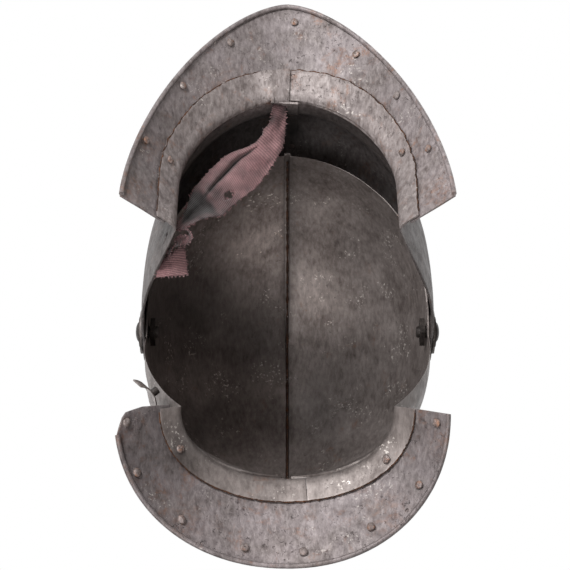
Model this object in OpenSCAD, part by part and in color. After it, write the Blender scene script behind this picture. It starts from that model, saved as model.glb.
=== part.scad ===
// Close helmet for a horseman: a skull in two halves with a low comb, a visor and a bevor
// that turn on two side pivots, and a flared gorget plate in front and behind.
// It is drawn opened: the bevor is swung up, with the visor riding on it.
// Millimetres. +Z runs up through the crown, the wearer faces -Y, and +X is the wearer's left.
// The origin is the middle of the pivot axis, which runs along X.
// Side view points are given as [forward, up], and side view angles turn from forward to up.

/* [Plates] */
// Thickness of every plate
plate_t = 1.5; // [1.3:0.1:1.6]
// Running gap between plates that turn over each other
nest_gap = 0.7; // [0.6:0.05:0.8]
// Gap between plates that are riveted together
seat_gap = 0.05; // [0.03:0.01:0.1]

/* [Skull] */
// Half of the skull's width at the pivots, measured outside
skull_half_w = 96; // [92:1:100]
// From the pivot axis to the middle of the brow edge
brow_reach = 130; // [127:0.5:131]
// From the pivot axis up to the crown, without the comb
crown_h = 134; // [132:0.5:136]
// From the pivot axis to the back of the head
back_reach = 117; // [114:1:120]
// Height of the comb at its highest point
comb_h = 10; // [8:0.5:12]

/* [Neck] */
// Inner length of the neck ring, front to back
neck_len = 178; // [172:1:182]
// Inner width of the neck ring
neck_w = 132; // [128:1:136]
// Depth of the neck ring below the pivot axis
neck_depth = 124; // [120:1:127]
// Width of the turned out flange at the throat
front_flange_w = 16.5; // [14:0.5:18]
// Width of the turned out flange at the sides and behind
flange_w = 10; // [9:0.5:12]
// Where the front and rear neck plates part, behind the pivot axis
split_back = 43; // [41:1:45]

/* [Bevor] */
// Angle that the bevor is swung up from shut
bevor_open = 50; // [0:1:52]
// From the pivot axis to the tip of the chin
chin_reach = 151; // [149:0.5:153]
// Depth of the chin's tip below the pivot axis
chin_depth = 66; // [63:1:69]
// Radius of the catch hole in the bevor's right cheek
cheek_hole_r = 3.8; // [3.4:0.1:4.2]

/* [Visor] */
// Angle that the visor is raised above its seat on the bevor
visor_raised = 8; // [0:1:12]
// From the pivot axis to the point of the visor
visor_reach = 168; // [166:0.5:170]
// Height of the two sights
sight_h = 6; // [5:0.5:7]
// Length of each sight
sight_len = 50; // [44:1:54]
// Radius of the breaths
breath_r = 2.2; // [1.6:0.1:2.6]
// Number of breaths in each row
breath_count = 4; // [3:1:5]

/* [Gorget] */
// Half of the width across the gorget plates
gorget_half_w = 102; // [100:1:104]
// From the pivot axis to the point of the front plate, shut
front_reach = 158; // [155:1:161]
// Depth of the front plate's point below the pivot axis, shut
front_depth = 164; // [161:1:166]
// From the pivot axis to the rear plate's hem
rear_reach = 136; // [133:1:139]
// Depth of the rear plate's hem below the pivot axis
rear_depth = 156; // [153:1:159]
// Depth of the plates' side corners below the pivot axis
corner_depth = 151; // [149:1:153]
// Radius of the rolled hem
hem_r = 1.6; // [1.3:0.1:1.8]

/* [Fasteners] */
// Radius of the pivots' shanks
pivot_r = 4; // [3.5:0.25:4.5]
// Radius of the pivots' domed heads
pivot_head_r = 7; // [6.4:0.2:8]
// Running clearance round a pivot, on the radius
pivot_play = 0.08; // [0.05:0.01:0.1]
// Radius of the small rivets' heads
rivet_head_r = 3; // [2.6:0.1:3.4]
// Radius of the small rivets' shanks
rivet_r = 1.5; // [1.2:0.1:1.8]

/* [Hidden] */
$fn = 48;

stack = plate_t + nest_gap;
bevor_half_w = skull_half_w + stack;
visor_half_w = bevor_half_w + stack + 0.4;
flat_r = 24;                                      // plates are flat this far round the pivots
ear_r = 22;                                       // skull below the pivots
bevor_ear_r = 20;
visor_ear_r = 15;
start_r = 2.5;                                    // inside every pivot's bore
lift = seat_gap + plate_t;
half_gap = 0.7;                                   // from the middle to each skull half, the slit of the comb
chin_gap = 0.1;
lap = 9;                                          // lap of the halves at chin and nape
neck_mid = 1;
neck_tilt = 0.045;                                // the neck ring falls towards the front
bevor_out = stack + 0.6;                          // bevor's ring outside the skull's
skull_power = 0.56;                               // above a half makes a keel down the middle
bevor_power = 0.5;
visor_power = 0.53;

// curves through [place, value] pairs
function slope(tb, k) =
    let (a = max(k - 1, 0), b = min(k + 1, len(tb) - 1)) (tb[b][1] - tb[a][1]) / (tb[b][0] - tb[a][0]);
function curve_at(tb, v, k = 0) =
    (k < len(tb) - 2 && v > tb[k + 1][0]) ? curve_at(tb, v, k + 1) :
    let (w = tb[k + 1][0] - tb[k][0], s = min(max((v - tb[k][0]) / w, 0), 1),
         m0 = slope(tb, k) * w, m1 = slope(tb, k + 1) * w)
    (2 * s * s * s - 3 * s * s + 1) * tb[k][1] + (s * s * s - 2 * s * s + s) * m0
    + (3 * s * s - 2 * s * s * s) * tb[k + 1][1] + (s * s * s - s * s) * m1;
function unit(v) = v / norm(v);
function mix(a, b, s) = a + (b - a) * s;
function side_angle(p) = (atan2(p[1], p[0]) + 360) % 360;
function polar(a, r) = [r * cos(a), r * sin(a)];
function at(p, x) = [x, -p[0], p[1]];             // side view point to space

// neck ring of the shut helmet, grown outwards by out; v turns from front to back
function ring_f(v, out) = neck_mid + (neck_len / 2 + out) * sign(cos(v)) * pow(abs(cos(v)), 1.06);
function ring_x(v, out) = (neck_w / 2 + out) * pow(abs(sin(v)), 1.06) * sign(sin(v));
function neck_z(f) = -neck_depth - neck_tilt * (f - neck_mid);
function ring(v, out) = let (f = ring_f(v, out)) [ring_x(v, out), -f, neck_z(f)];
function ring_side(v, out) = let (f = ring_f(v, out)) [f, neck_z(f)];
function ring_out(v, out) =
    unit([ring_x(v, out) / pow(neck_w / 2 + out, 2),
          -(ring_f(v, out) - neck_mid) / pow(neck_len / 2 + out, 2), 0]);
front_end = acos((-split_back + 2.5 - neck_mid) / (neck_len / 2));
rear_end = acos((-split_back - 1.5 - neck_mid) / (neck_len / 2));

// a plate's surface: half width at r from the pivot axis, and the reach that gives a half width
function bulge(r, reach, half_w, power) =
    let (u = min(max((r - flat_r) / (reach - flat_r), 0), 1)) half_w * pow(1 - u * u, power);
function reach_for(r, x, half_w, power) =
    flat_r + (r - flat_r) / sqrt(max(0.03, 1 - pow(x / half_w, 1 / power)));
function r_for(reach, x, half_w, power) =
    flat_r + (reach - flat_r) * sqrt(max(0, 1 - pow(x / half_w, 1 / power)));

// one rib of a plate as [r, reach] pairs becomes points, skin deep inside the outer face
function rib(a, far, reach, half_w, power, rows, skin) = [
    for (i = [0 : rows])
        let (span = reach - flat_r, end = asin(min(1, max(0, (far - flat_r) / span))),
             step = end > 86.5 ? (end - 4.4) / (rows - 2) : end / (rows - 1),
             r = far < flat_r + 6 ? mix(start_r, far, i / rows) :
                 i == 0 ? start_r : flat_r + span * sin(i == rows ? end : step * (i - 1)),
             k = r < flat_r ? 1 : (flat_r + (r - flat_r) * (span - skin) / span) / r)
        at(polar(a, r * k), bulge(r, reach, half_w, power) * (half_w - skin) / half_w)];

// a closed shell between two skins of points; loop joins the ends of its rows
module shell(outer, inner, loop = false) {
    n = len(outer);
    m = len(outer[0]);
    o = n * m;
    points = [for (g = [outer, inner], row = g, p = row) p];
    jn = loop ? m - 1 : m - 2;
    skins = [for (i = [0 : n - 2], j = [0 : jn], k = [0 : 3])
        let (a = i * m + j, b = i * m + (j + 1) % m, c = a + m, d = b + m)
        k == 0 ? [a, b, d] : k == 1 ? [a, d, c] : k == 2 ? [a + o, d + o, b + o] : [a + o, c + o, d + o]];
    ends = [for (j = [0 : jn], k = [0 : 3])
        let (a = j, b = (j + 1) % m, c = a + (n - 1) * m, d = b + (n - 1) * m)
        k == 0 ? [a, b + o, b] : k == 1 ? [a, a + o, b + o] : k == 2 ? [c, d, d + o] : [c, d + o, c + o]];
    sides = loop ? [] : [for (i = [0 : n - 2], k = [0 : 3])
        let (a = i * m, b = a + m, c = a + m - 1, d = b + m - 1)
        k == 0 ? [a, b, b + o] : k == 1 ? [a, b + o, a + o] : k == 2 ? [c, d + o, d] : [c, c + o, d + o]];
    polyhedron(points, concat(skins, ends, sides));
}

// a plate drawn as ribs [angle, far, reach] all the way round the pivot
module fan(ribs, half_w, power, rows) {
    skins = [for (skin = [0, plate_t])
        let (cols = [for (b = ribs) rib(b[0], b[1], b[2], half_w, power, rows, skin)])
        [for (i = [0 : rows]) [for (c = cols) c[i]]]];
    shell(skins[1], skins[0], loop = true);
}

// a sheet along a grid of points, from lo to hi off it at each row
function face_normal(g, i, j) =
    let (n = len(g), m = len(g[0]),
         u = g[i][min(j + 1, m - 1)] - g[i][max(j - 1, 0)],
         v = g[min(i + 1, n - 1)][j] - g[max(i - 1, 0)][j])
    unit(cross(v, u));
function off_grid(g, d) =
    [for (i = [0 : len(g) - 1]) [for (j = [0 : len(g[0]) - 1]) g[i][j] + d[i][j] * face_normal(g, i, j)]];
function flat_d(g, v) = [for (row = g) [for (p = row) v]];
module sheet(g, lo, hi) { shell(off_grid(g, hi), off_grid(g, lo)); }

// a tube of radius r along a path
module tube(path, r, sides = 8) {
    n = len(path);
    pts = [for (i = [0 : n - 1])
        let (t = unit(path[min(i + 1, n - 1)] - path[max(i - 1, 0)]),
             a = unit(cross(t, [0, 0, 1])), b = cross(a, t))
        for (k = [0 : sides - 1]) path[i] + r * (cos(360 * k / sides) * a + sin(360 * k / sides) * b)];
    faces = concat(
        [for (i = [0 : n - 2], k = [0 : sides - 1], q = [0, 1])
            let (a = i * sides + k, b = i * sides + (k + 1) % sides)
            q == 0 ? [a, b, b + sides] : [a, b + sides, a + sides]],
        [[for (k = [sides - 1 : -1 : 0]) k]], [[for (k = [0 : sides - 1]) (n - 1) * sides + k]]);
    polyhedron(pts, faces);
}

module joined() { resize([0, 0, 0]) union() children(); }
module on_side(k) { mirror([k, 0, 0]) children(); }
module swung(a) { rotate([-a, 0, 0]) children(); }
// stand a child at p with its Z along n
module along(p, n) {
    translate(p) rotate([0, acos(n[2] / norm(n)), atan2(n[1], n[0])]) children();
}

// The skull's outline, comb and edges.
skull_line = [
    [17, brow_reach], [45, brow_reach + 1], [70, mix(brow_reach, crown_h, 0.55)], [90, crown_h],
    [115, crown_h + 3], [140, crown_h + 1], [160, mix(crown_h, back_reach, 0.38)],
    [175, back_reach + 3], [186, back_reach + 0.5], [196, back_reach - 0.4], [206, back_reach + 2],
    [216, back_reach + 10], [225, back_reach + 21], [side_angle(ring_side(180, 0)), norm(ring_side(180, 0))]];
comb_line = [
    [17, 2], [60, 2.4], [78, 3], [92, 5], [112, 0.9 * comb_h], [130, comb_h], [152, comb_h],
    [172, 0.8 * comb_h], [190, 0.45 * comb_h], [206, 2], [218, 1.75]];
nape_angle = side_angle(ring_side(180, 0));
brow_edge = [[21, -7], [31, -3], [43, 2], [57, 8.5], [73, 15.5], [90, 22.8], [106, 29.3], [117, 34]];
side_edge = [[-32.4, -96], [-22.1, -69], [-13.3, -45], [-7.6, -30]];

function skull_reach(a) = curve_at(skull_line, a);
function skull_top(a) = r_for(skull_reach(a), half_gap, skull_half_w, skull_power);
function ring_rib(v, out, half_w, power) =
    let (s = ring_side(v, out), r = norm(s)) [side_angle(s), r, reach_for(r, ring_x(v, out), half_w, power)];
skull_ribs = concat(
    [for (p = brow_edge) [side_angle(p), norm(p), brow_reach]],
    [for (a = [17, 21.5, for (k = [1 : 25]) mix(21.5, nape_angle - 2.5, k / 25)])
        [a, skull_top(a), skull_reach(a)]],
    [for (k = [0 : 9]) ring_rib(mix(179.9, rear_end, k / 9), 0, skull_half_w, skull_power)],
    [for (p = side_edge) [side_angle(p), norm(p),
        ring_rib(rear_end, 0, skull_half_w, skull_power)[2]]],
    [for (a = [270 : 14 : 326]) [a, ear_r, brow_reach]]);

// a flat strip on the middle plane, from lo off the skull's line or from lo off the comb's top
module comb_strip(x0, x1, lo, hi, top = false) {
    aa = [17.2, for (k = [1 : 34]) mix(17.2, 218, k / 34)];
    outline = concat(
        [for (a = aa) polar(a, skull_reach(a) + lo + (top ? curve_at(comb_line, a) : 0))],
        [for (k = [len(aa) - 1 : -1 : 0])
            polar(aa[k], skull_reach(aa[k]) + curve_at(comb_line, aa[k]) + hi)]);
    multmatrix([[0, 0, 1, 0], [-1, 0, 0, 0], [0, 1, 0, 0], [0, 0, 0, 1]])
        translate([0, 0, x0]) linear_extrude(x1 - x0) polygon(outline);
}

// The gorget plates and the neck flanges that carry them, drawn with the helmet shut.
function rim_r(w, half_w, reach, n) =
    pow(pow(abs(sin(w)) / half_w, n) + pow(max(cos(w), 0) / reach, n), -1 / n);
front_line = 1.5 - split_back;
rear_line = -2.5 - split_back;
function front_rim(w) =
    let (r = rim_r(w, gorget_half_w, front_reach - front_line, 1.65),
         s = r * cos(w) / (front_reach - front_line))
    [r * sin(w), -front_line - r * cos(w), mix(-corner_depth, -front_depth, s)];
function rear_rim(w) =
    let (r = rim_r(w, gorget_half_w, rear_reach + rear_line, 2.1), s = r * cos(w) / (rear_reach + rear_line))
    [r * sin(w), -rear_line + r * cos(w), mix(-corner_depth, -rear_depth, s)];
// w runs from -90 to 90 across each plate; out is the ring's growth
function front_v(w) = w * front_end / 90;
function rear_v(w) = 180 - w * (180 - rear_end) / 90;
function root(v, out) = ring(v, out) + 3.5 * ring_out(v, out) - [0, 0, 5];
function skirt(w, front, d) =                     // d from the root, in millimetres along the slope
    let (v = front ? front_v(w) : rear_v(w), a = root(v, front ? bevor_out : 0),
         b = front ? front_rim(w) : rear_rim(w)) a + d * unit(b - a);
function skirt_len(w, front) = norm(skirt(w, front, 0) - (front ? front_rim(w) : rear_rim(w)));
function skirt_n(w, front, d) =
    let (u = skirt(w + 0.5, front, d) - skirt(w - 0.5, front, d),
         v = skirt(w, front, d + 1) - skirt(w, front, d),
         n = unit(cross(u, v))) n[2] > 0 ? n : -n;

function flange_at(w, front) =
    flange_w + (front ? (front_flange_w - flange_w) * pow(max(cos(w), 0), 1.5) : 0);

// flange of one neck edge from w0 to its end; drop steps it below the other half's lap
module flange(front, w0, step_from, step_to) {
    out = front ? bevor_out : 0;
    m = front ? 17 : 15;
    ww = [w0, for (k = [-2 : m]) if (90 * k / m > w0 + 0.8) 90 * k / m];
    n = len(ww) - 1;
    drop = [for (w = ww) step_to == step_from ? 0 :
        (lift + 0.25) * min(1, max(0, (w - step_from) / (step_to - step_from)))];
    vv = [for (w = ww) front ? front_v(w) : rear_v(w)];
    up = [for (k = [0 : n]) let (q = ring_out(vv[k], out), p = ring(vv[k], out) - 1.25 * drop[k] * q)
        [p + [0, 0, 3] - 0.75 * q, p - 0.25 * q, p + 0.9 * q - [0, 0, 2.8]]];
    g = [[for (u = up) u[0]], [for (u = up) u[1]], [for (u = up) u[2]],
        for (s = [0, 0.5, 1])
            [for (k = [0 : n]) let (d = s * flange_at(ww[k], front))
                skirt(ww[k], front, d) - drop[k] * skirt_n(ww[k], front, d)]];
    way = front ? 1 : -1;
    thin = [[0.15, 0.3], [0, 1], [0, plate_t], [0, plate_t], [0, plate_t], [0, plate_t]];
    lo = [for (i = [0 : 5]) [for (w = ww) way > 0 ? -thin[i][1] : thin[i][0]]];
    hi = [for (i = [0 : 5]) [for (w = ww) way > 0 ? -thin[i][0] : thin[i][1]]];
    sheet(g, lo, hi);
}

module skirt_plate(front) {
    n = front ? 34 : 30;                          // twice the flange's steps, so the two lie flat
    ww = [for (k = [0 : n]) mix(-90, 90, k / n)];
    g = [for (s = [0, 1 / 3, 2 / 3, 1])
        [for (w = ww)
            skirt(w, front, mix(2.2, skirt_len(w, front), s)) + 3 * seat_gap * skirt_n(w, front, 20)]];
    joined() {
        sheet(g, flat_d(g, front ? 0 : -plate_t), flat_d(g, front ? plate_t : 0));
        tube([for (w = ww) skirt(w, front, skirt_len(w, front)) + 0.6 * skirt_n(w, front, 20)], hem_r);
    }
}
// The bevor's outline and its two halves, drawn shut.
throat = ring_side(0, bevor_out);
bevor_points = [throat, [104, -113], [128, -100],
    [chin_reach - 5, -chin_depth - 17], [chin_reach, -chin_depth],
    [chin_reach - 4, -50], [140.5, -37]];
bevor_line = [for (p = bevor_points) [side_angle(p), norm(p)]];
bevor_top = bevor_line[len(bevor_line) - 1];
bevor_rear = [[-18, -10], [-26, -30], [-36, -60], [-43.5, -89], [-44, -111]];
bevor_brim = [[121, -31.5], [100, -25], [80, -18.5], [60, -11], [45, -4.5], [31, 3.5], [19, 10.5]];

function bevor_rib_at(a, x) =
    let (reach = curve_at(bevor_line, a)) [a, r_for(reach, x, bevor_half_w, bevor_power), reach];
function bevor_ribs(x) =
    let (v_end = asin(pow(x / (neck_w / 2 + bevor_out), 1 / 1.06)),
         first = ring_rib(front_end, bevor_out, bevor_half_w, bevor_power))
    concat(
        [for (p = bevor_rear) [side_angle(p), norm(p), first[2]]],
        [for (k = [0 : 13]) ring_rib(mix(front_end, v_end, k / 13), bevor_out, bevor_half_w, bevor_power)],
        [for (k = [1 : 10]) bevor_rib_at(mix(throat_angle, bevor_top[0], k / 10), x)],
        [for (p = bevor_brim) [side_angle(p), norm(p), bevor_top[1]]],
        [for (a = [45 : 18 : 200]) [a, bevor_ear_r, bevor_top[1]]]);
throat_angle = side_angle(throat);

module bevor_half(lefty) {
    edge = lefty ? chin_gap : lap - 2;
    on_side(lefty ? 0 : 1) difference() {
        joined() {
            fan(bevor_ribs(edge), bevor_half_w, bevor_power, 8);
            if (lefty) flange(true, -2.4, 0, 0);
            if (!lefty) flange(true, -1, 11, 7);
            if (!lefty) chin_lap();
        }
        rotate([0, 90, 0]) cylinder(r = pivot_r + pivot_play, h = 300);
        if (!lefty) along(cheek_hole, cheek_n) cylinder(r = cheek_hole_r, h = 16, center = true);
    }
}

// the right half's edge, stepped in behind the left half
module chin_lap() {
    deep = lift + 0.08;
    xx = [lap + 1.5, lap - 3.5, lap - 5.5, 1.5, -2, -lap + 1.5];
    sink = [0.9, 0.25, deep, deep, deep, deep];
    aa = [for (k = [0 : 10]) mix(throat_angle, bevor_top[0], k / 10)];
    function skin(t) = [for (i = [0 : 5])
        [for (a = aa)
            let (q = i == 0 ? min(t, 0.4) : t,
                 r = r_for(curve_at(bevor_line, a), abs(xx[i]), bevor_half_w, bevor_power))
            at(polar(a, r - sink[i] - q), xx[i])]];
    shell(skin(plate_t), skin(0));
}

function table_at(ribs, a) = lookup(a, [for (b = ribs) [b[0], b[2]]]);
function on_bevor(a, r) =
    at(polar(a, r), bulge(r, table_at(bevor_ribs(chin_gap), a), bevor_half_w, bevor_power));
function on_skull(a, r) = at(polar(a, r), bulge(r, table_at(skull_ribs, a), skull_half_w, skull_power));
function out_of(p, q, s) = let (n = unit(cross(q - p, s - p))) n[0] > 0 ? n : -n;

cheek_a = 253.2;
cheek_r = 112.5;
cheek_p = on_bevor(cheek_a, cheek_r);
cheek_n = out_of(cheek_p, on_bevor(cheek_a + 1, cheek_r), on_bevor(cheek_a, cheek_r + 1));
cheek_hole = cheek_p;

// The visor, drawn shut.
visor_points = [[154.5, -52.7], [164, -42.3], [visor_reach, -27], [159, -6],
    [149, 15], [141, 32], [134.5, 47]];
visor_line = [for (p = visor_points) [atan2(p[1], p[0]), norm(p)]];
// ribs along its lower edge, as shares of its reach
visor_low = [0.1, 0.2, 0.3, 0.4, 0.51, 0.61, 0.7, 0.78, 0.85, 0.91, 0.96];
visor_high = [[124, 43.8], [100, 35.7], [75, 27.4], [50, 19.2], [27, 12], [14, 8]];
visor_ribs = concat(
    [for (k = visor_low) [mix(339.4, visor_line[0][0] + 360, k), k * visor_line[0][1], visor_line[0][1]]],
    [for (k = [0 : 12]) let (a = mix(visor_line[0][0], visor_line[6][0], k / 12), r = curve_at(visor_line, a))
        [a + 360, r, r]],
    [for (p = visor_high) [side_angle(p), norm(p), visor_line[6][1]]],
    [for (a = [50 : 25 : 320]) [a, visor_ear_r, visor_line[6][1]]]);

module visor() {
    sight_x = 9;
    difference() {
        joined() {
            for (k = [0, 1]) on_side(k) fan(visor_ribs, visor_half_w, visor_power, 10);
        }
        rotate([0, 90, 0]) cylinder(r = pivot_r + pivot_play, h = 300, center = true);
        for (s = [-1, 1]) {
            translate([s * (sight_x + sight_len / 2), -150, 24])
                cube([sight_len, 140, sight_h], center = true);
            for (row = [0, 1], k = [0 : breath_count - 1])
                translate([s * (17 + 9.5 * k + 4.5 * row), -60, -16 - 9 * row])
                    rotate([90, 0, 0]) cylinder(r = breath_r, h = 130);
        }
    }
}

// Rivets and pivots.
module dome(r, h, s = 5) {
    rotate_extrude()
        polygon(concat([[0, 0]], [for (k = [0 : s]) [r * cos(90 * k / s), h * sin(90 * k / s)]]));
}
module rivet(grip) {                              // Z up out of the plates, a low head on each side
    dome(rivet_head_r, 1.5);
    translate([0, 0, -grip]) cylinder(r = rivet_r, h = grip + 0.1);
    translate([0, 0, -grip]) mirror([0, 0, 1]) dome(rivet_head_r * 0.9, 1.1);
}
washer_t = 1;
nut_t = 3.4;
head_x = visor_half_w + seat_gap + washer_t;
nut_x = skull_half_w - plate_t - seat_gap - nut_t;
module pivot() {
    rotate([0, 90, 0]) {
        translate([0, 0, nut_x - 1.2]) cylinder(r = pivot_r, h = head_x - nut_x + 1.3);
        translate([0, 0, head_x + seat_gap]) dome(pivot_head_r, 2.6, 7);
        translate([0, 0, nut_x - 2.2]) cylinder(r1 = pivot_r - 0.6, r2 = pivot_r, h = 1);
    }
}
module pivot_washer() {
    translate([head_x - washer_t, 0, 0]) rotate([0, 90, 0]) difference() {
        cylinder(r = pivot_head_r + 3.4, h = washer_t);
        translate([0, 0, -1]) cylinder(r = pivot_r + pivot_play, h = washer_t + 2);
    }
}
module pivot_nut() {
    translate([nut_x, 0, 0]) rotate([0, 90, 0]) difference() {
        cylinder(r = 9.5, h = nut_t, $fn = 4);
        translate([0, 0, -1]) cylinder(r = pivot_r - 0.02, h = nut_t + 2);
    }
}

front_rivets = [-87, -69.8, -44.6, -20.7, 2.3, 25.9, 47.6, 72.2, 87];
rear_rivets = [-87, -67.4, -44, -15.7, 9.2, 39.4, 63.3, 87];
hem_in = 11;
module skirt_rivets(front, ww, d_of_end, grip) {
    for (w = ww) {
        d = d_of_end ? skirt_len(w, front) - hem_in : flange_at(w, front) * 0.55;
        n = skirt_n(w, front, d);
        along(skirt(w, front, d) + (3 * seat_gap + plate_t) * n, n) rivet(grip);
    }
}

// What is left of the lining, drawn on the swung bevor: [x, forward, up, half width].
remnant_path = [
    [-6.5, 154, -12, 5.5], [-9, 147, -8, 6], [-12.5, 138, -2, 7], [-18, 127, 2, 10],
    [-26, 115, -1, 15], [-38, 102, -13, 18], [-48, 92, -27, 17], [-57, 83, -44, 13],
    [-62, 75, -64, 8], [-65.5, 69.5, -82, 5], [-66.5, 66.5, -94, 3.5]];
cloth_t = 1.1;
module lining_remnant() {
    n = len(remnant_path) * 2 - 2;
    cc = [for (k = [0 : n])
        let (i = min(floor(k / 2), len(remnant_path) - 2))
        mix(remnant_path[i], remnant_path[i + 1], k / 2 - i)];
    g = [for (k = [0 : n])
        let (p = [cc[k][0], -cc[k][1], cc[k][2]], a = cc[max(k - 1, 0)], b = cc[min(k + 1, n)],
             t = unit([b[0] - a[0], -(b[1] - a[1]), 0]), across = [-t[1], t[0], 0])
        [for (j = [-4 : 4]) p + across * cc[k][3] * j / 4
            + [0, 0, 1.6 * sin(95 * j) * min(1, k / 5, (n - k) / 4)
            - 0.035 * pow(cc[k][3] * j / 4, 2)]]];
    sheet(g, flat_d(g, -cloth_t / 2), flat_d(g, cloth_t / 2));
}
module lining_flap() {
    g = [for (k = [0 : 8]) [for (j = [0 : 8])
        let (u = k / 8, v = j / 8)
        [mix(21.7 - bevor_half_w, mix(38.2, 34.2, u) - bevor_half_w, v),
         -mix(60, 41, u) - 3 * sin(180 * v), -80 + 3.5 * sin(200 * v + 60 * u) - 5 * u]]];
    sheet(g, flat_d(g, -cloth_t / 2), flat_d(g, cloth_t / 2));
}
module lining_rivet() {
    along([17.6 - bevor_half_w, -52, -80], [1, 0, 0.05]) cylinder(r = 1.6, h = 9.5, center = true);
}

// The spring catch behind the wearer's right cheek.
catch_out = -6;                                   // sprung clear of the hole
catch_root_a = 229;
catch_root_r = 108;
catch_n0 = out_of(on_skull(catch_root_a, catch_root_r),
    on_skull(catch_root_a + 1, catch_root_r), on_skull(catch_root_a, catch_root_r + 1));
module catch_frame() {
    // strip runs along +X of this frame, its underside is Z = 0 at the root
    p = on_skull(catch_root_a, catch_root_r) + 0.1 * catch_n0;
    to = cheek_p + 2.2 * cheek_n - p;
    x = unit(to);
    y = unit(cross(cheek_n + catch_n0, x));
    z = cross(x, y);
    multmatrix([[x[0], y[0], z[0], p[0]], [x[1], y[1], z[1], p[1]],
                [x[2], y[2], z[2], p[2]], [0, 0, 0, 1]]) children();
}
catch_len = norm(cheek_p + 2.2 * cheek_n - on_skull(catch_root_a, catch_root_r) - 0.1 * catch_n0);

// The pieces as they are named.
module skull_half(lefty) {
    on_side(lefty ? 0 : 1) difference() {
        joined() {
            fan(skull_ribs, skull_half_w, skull_power, 9);
            comb_strip(half_gap + 0.15, half_gap + plate_t, -0.9, lefty ? 0 : -plate_t - 0.15);
            if (lefty) comb_strip(-half_gap - plate_t, half_gap + 0.8, -plate_t + 0.15, 0.05, top = true);
            flange(false, 0.4, 0, 0);
        }
        rotate([0, 90, 0]) cylinder(r = pivot_r + pivot_play, h = 300);
    }
}
module catch_strip() {
    // thin spring that bows clear of the skull and curls out at its tip
    n = 12;
    function under(x) =
        x < 0 ? 0.3 : 0.3 + x * max(0, catch_len - x) / 280 + pow(max(0, x - catch_len - 5), 2) / 16;
    xx = [for (k = [0 : n + 6]) k <= n ? mix(0.9, catch_len, k / n) : catch_len + 13 * (k - n) / 6];
    outline = concat([for (x = xx) [x, under(x)]], [for (k = [n + 6 : -1 : 0]) [xx[k], under(xx[k]) + 1.1]]);
    translate([0, 5.5, 0]) rotate([90, 0, 0]) linear_extrude(11) polygon(outline);
}
module catch_spring() { catch_frame() rotate([0, catch_out, 0]) catch_strip(); }
module catch_stud() {
    catch_frame() rotate([0, catch_out, 0]) translate([catch_len, 0, -4.2]) cylinder(r = 2.6, h = 4.9);
}
module catch_plate() {
    rr = [for (k = [0 : 6]) catch_root_r - 6.5 + 13 * k / 6];
    g = [for (k = [0 : 6]) [for (r = rr) on_skull(catch_root_a - 8.9 + 7.8 * k / 6, r) + 0.1 * catch_n0]];
    sheet(g, flat_d(g, 0), flat_d(g, 1.3));
}
module catch_rivets() {
    for (r = [catch_root_r - 3.6, catch_root_r + 3.6]) {
        p = on_skull(catch_root_a - 5, r);
        n = out_of(p, on_skull(catch_root_a - 4, r), on_skull(catch_root_a - 5, r + 1));
        along(p + 1.45 * n, n) rivet(1.5 + 1.4);
    }
}

module chin_lap_rivets() {
    for (a = [318, 329, 340]) {
        r = r_for(curve_at(bevor_line, a), 3.2, bevor_half_w, bevor_power);
        q = at(polar(a, r), 3.2);
        n = unit(at(polar(a, r) + [0, 0], 0) + [9, 0, 0]);
        along(q, n) rivet(2 * plate_t + seat_gap);
    }
}

visor_peg_p = let (r = 128) at(polar(4, r), bulge(r, curve_at(visor_line, 4), visor_half_w, visor_power));
module visor_peg() {
    n = unit([0.74, -0.67, 0.02]);
    on_side(1) along(visor_peg_p, n) {
        translate([0, 0, -2.4]) cylinder(r = 2.4, h = 14);
        translate([0, 0, 0.6]) cylinder(r1 = 6, r2 = 4, h = 1.6);
        translate([0, 0, 12]) sphere(r = 5);
        translate([0, 0, -3.4]) cylinder(r = 4.6, h = 1.1);
    }
}

module skull_left() { color("#5b5654") skull_half(true); }
module skull_right() { color("#565150") skull_half(false); }
module rear_gorget_plate() { color("#7d7371") skirt_plate(false); }
module rear_gorget_rivets() { color("#6c5a4c") skirt_rivets(false, rear_rivets, true, plate_t); }
module rear_flange_rivets() {
    color("#6c5a4c") skirt_rivets(false, [-70.8, 70], false, 2 * plate_t + seat_gap);
}
module front_gorget_plate() { color("#7d7371") swung(bevor_open) skirt_plate(true); }
module front_gorget_rivets() {
    color("#6c5a4c") swung(bevor_open) skirt_rivets(true, front_rivets, true, plate_t);
}
module front_flange_rivets() {
    color("#6c5a4c") swung(bevor_open) skirt_rivets(true, [-75, 72], false, 2 * plate_t + seat_gap);
}
module bevor_left() { color("#6d6462") swung(bevor_open) bevor_half(true); }
module bevor_right() { color("#756b69") swung(bevor_open) bevor_half(false); }
module chin_rivets() { color("#6c5a4c") swung(bevor_open) chin_lap_rivets(); }

skull_left();
skull_right();
rear_gorget_plate();
rear_gorget_rivets();
rear_flange_rivets();
color("#4a4442") pivot();  // pivot_left
color("#4a4442") on_side(1) pivot();  // pivot_right
color("#3c3836") pivot_washer();  // pivot_washer_left
color("#3c3836") on_side(1) pivot_washer();  // pivot_washer_right
color("#4a4442") pivot_nut();  // pivot_nut_left
color("#4a4442") on_side(1) pivot_nut();  // pivot_nut_right
bevor_left();
bevor_right();
chin_rivets();  // chin_lap_rivets
front_gorget_plate();
front_gorget_rivets();
front_flange_rivets();
color("#8c6868") swung(bevor_open - 50) lining_remnant();
color("#8c6868") swung(bevor_open - 50) lining_flap();
color("#6c5a4c") swung(bevor_open - 50) lining_rivet();
color("#5b5654") swung(bevor_open + visor_raised) visor();
color("#4a4442") swung(bevor_open + visor_raised) visor_peg();
color("#544c49") on_side(1) catch_plate();
color("#6c5a4c") on_side(1) catch_rivets();
color("#544c49") on_side(1) catch_spring();
color("#4a4442") on_side(1) catch_stud();
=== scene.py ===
# Close helmet opened, seen from below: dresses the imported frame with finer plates, cloth and finishes.
from math import acos, asin, atan2, copysign, cos, degrees, exp, hypot, pi, sin, sqrt

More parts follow.
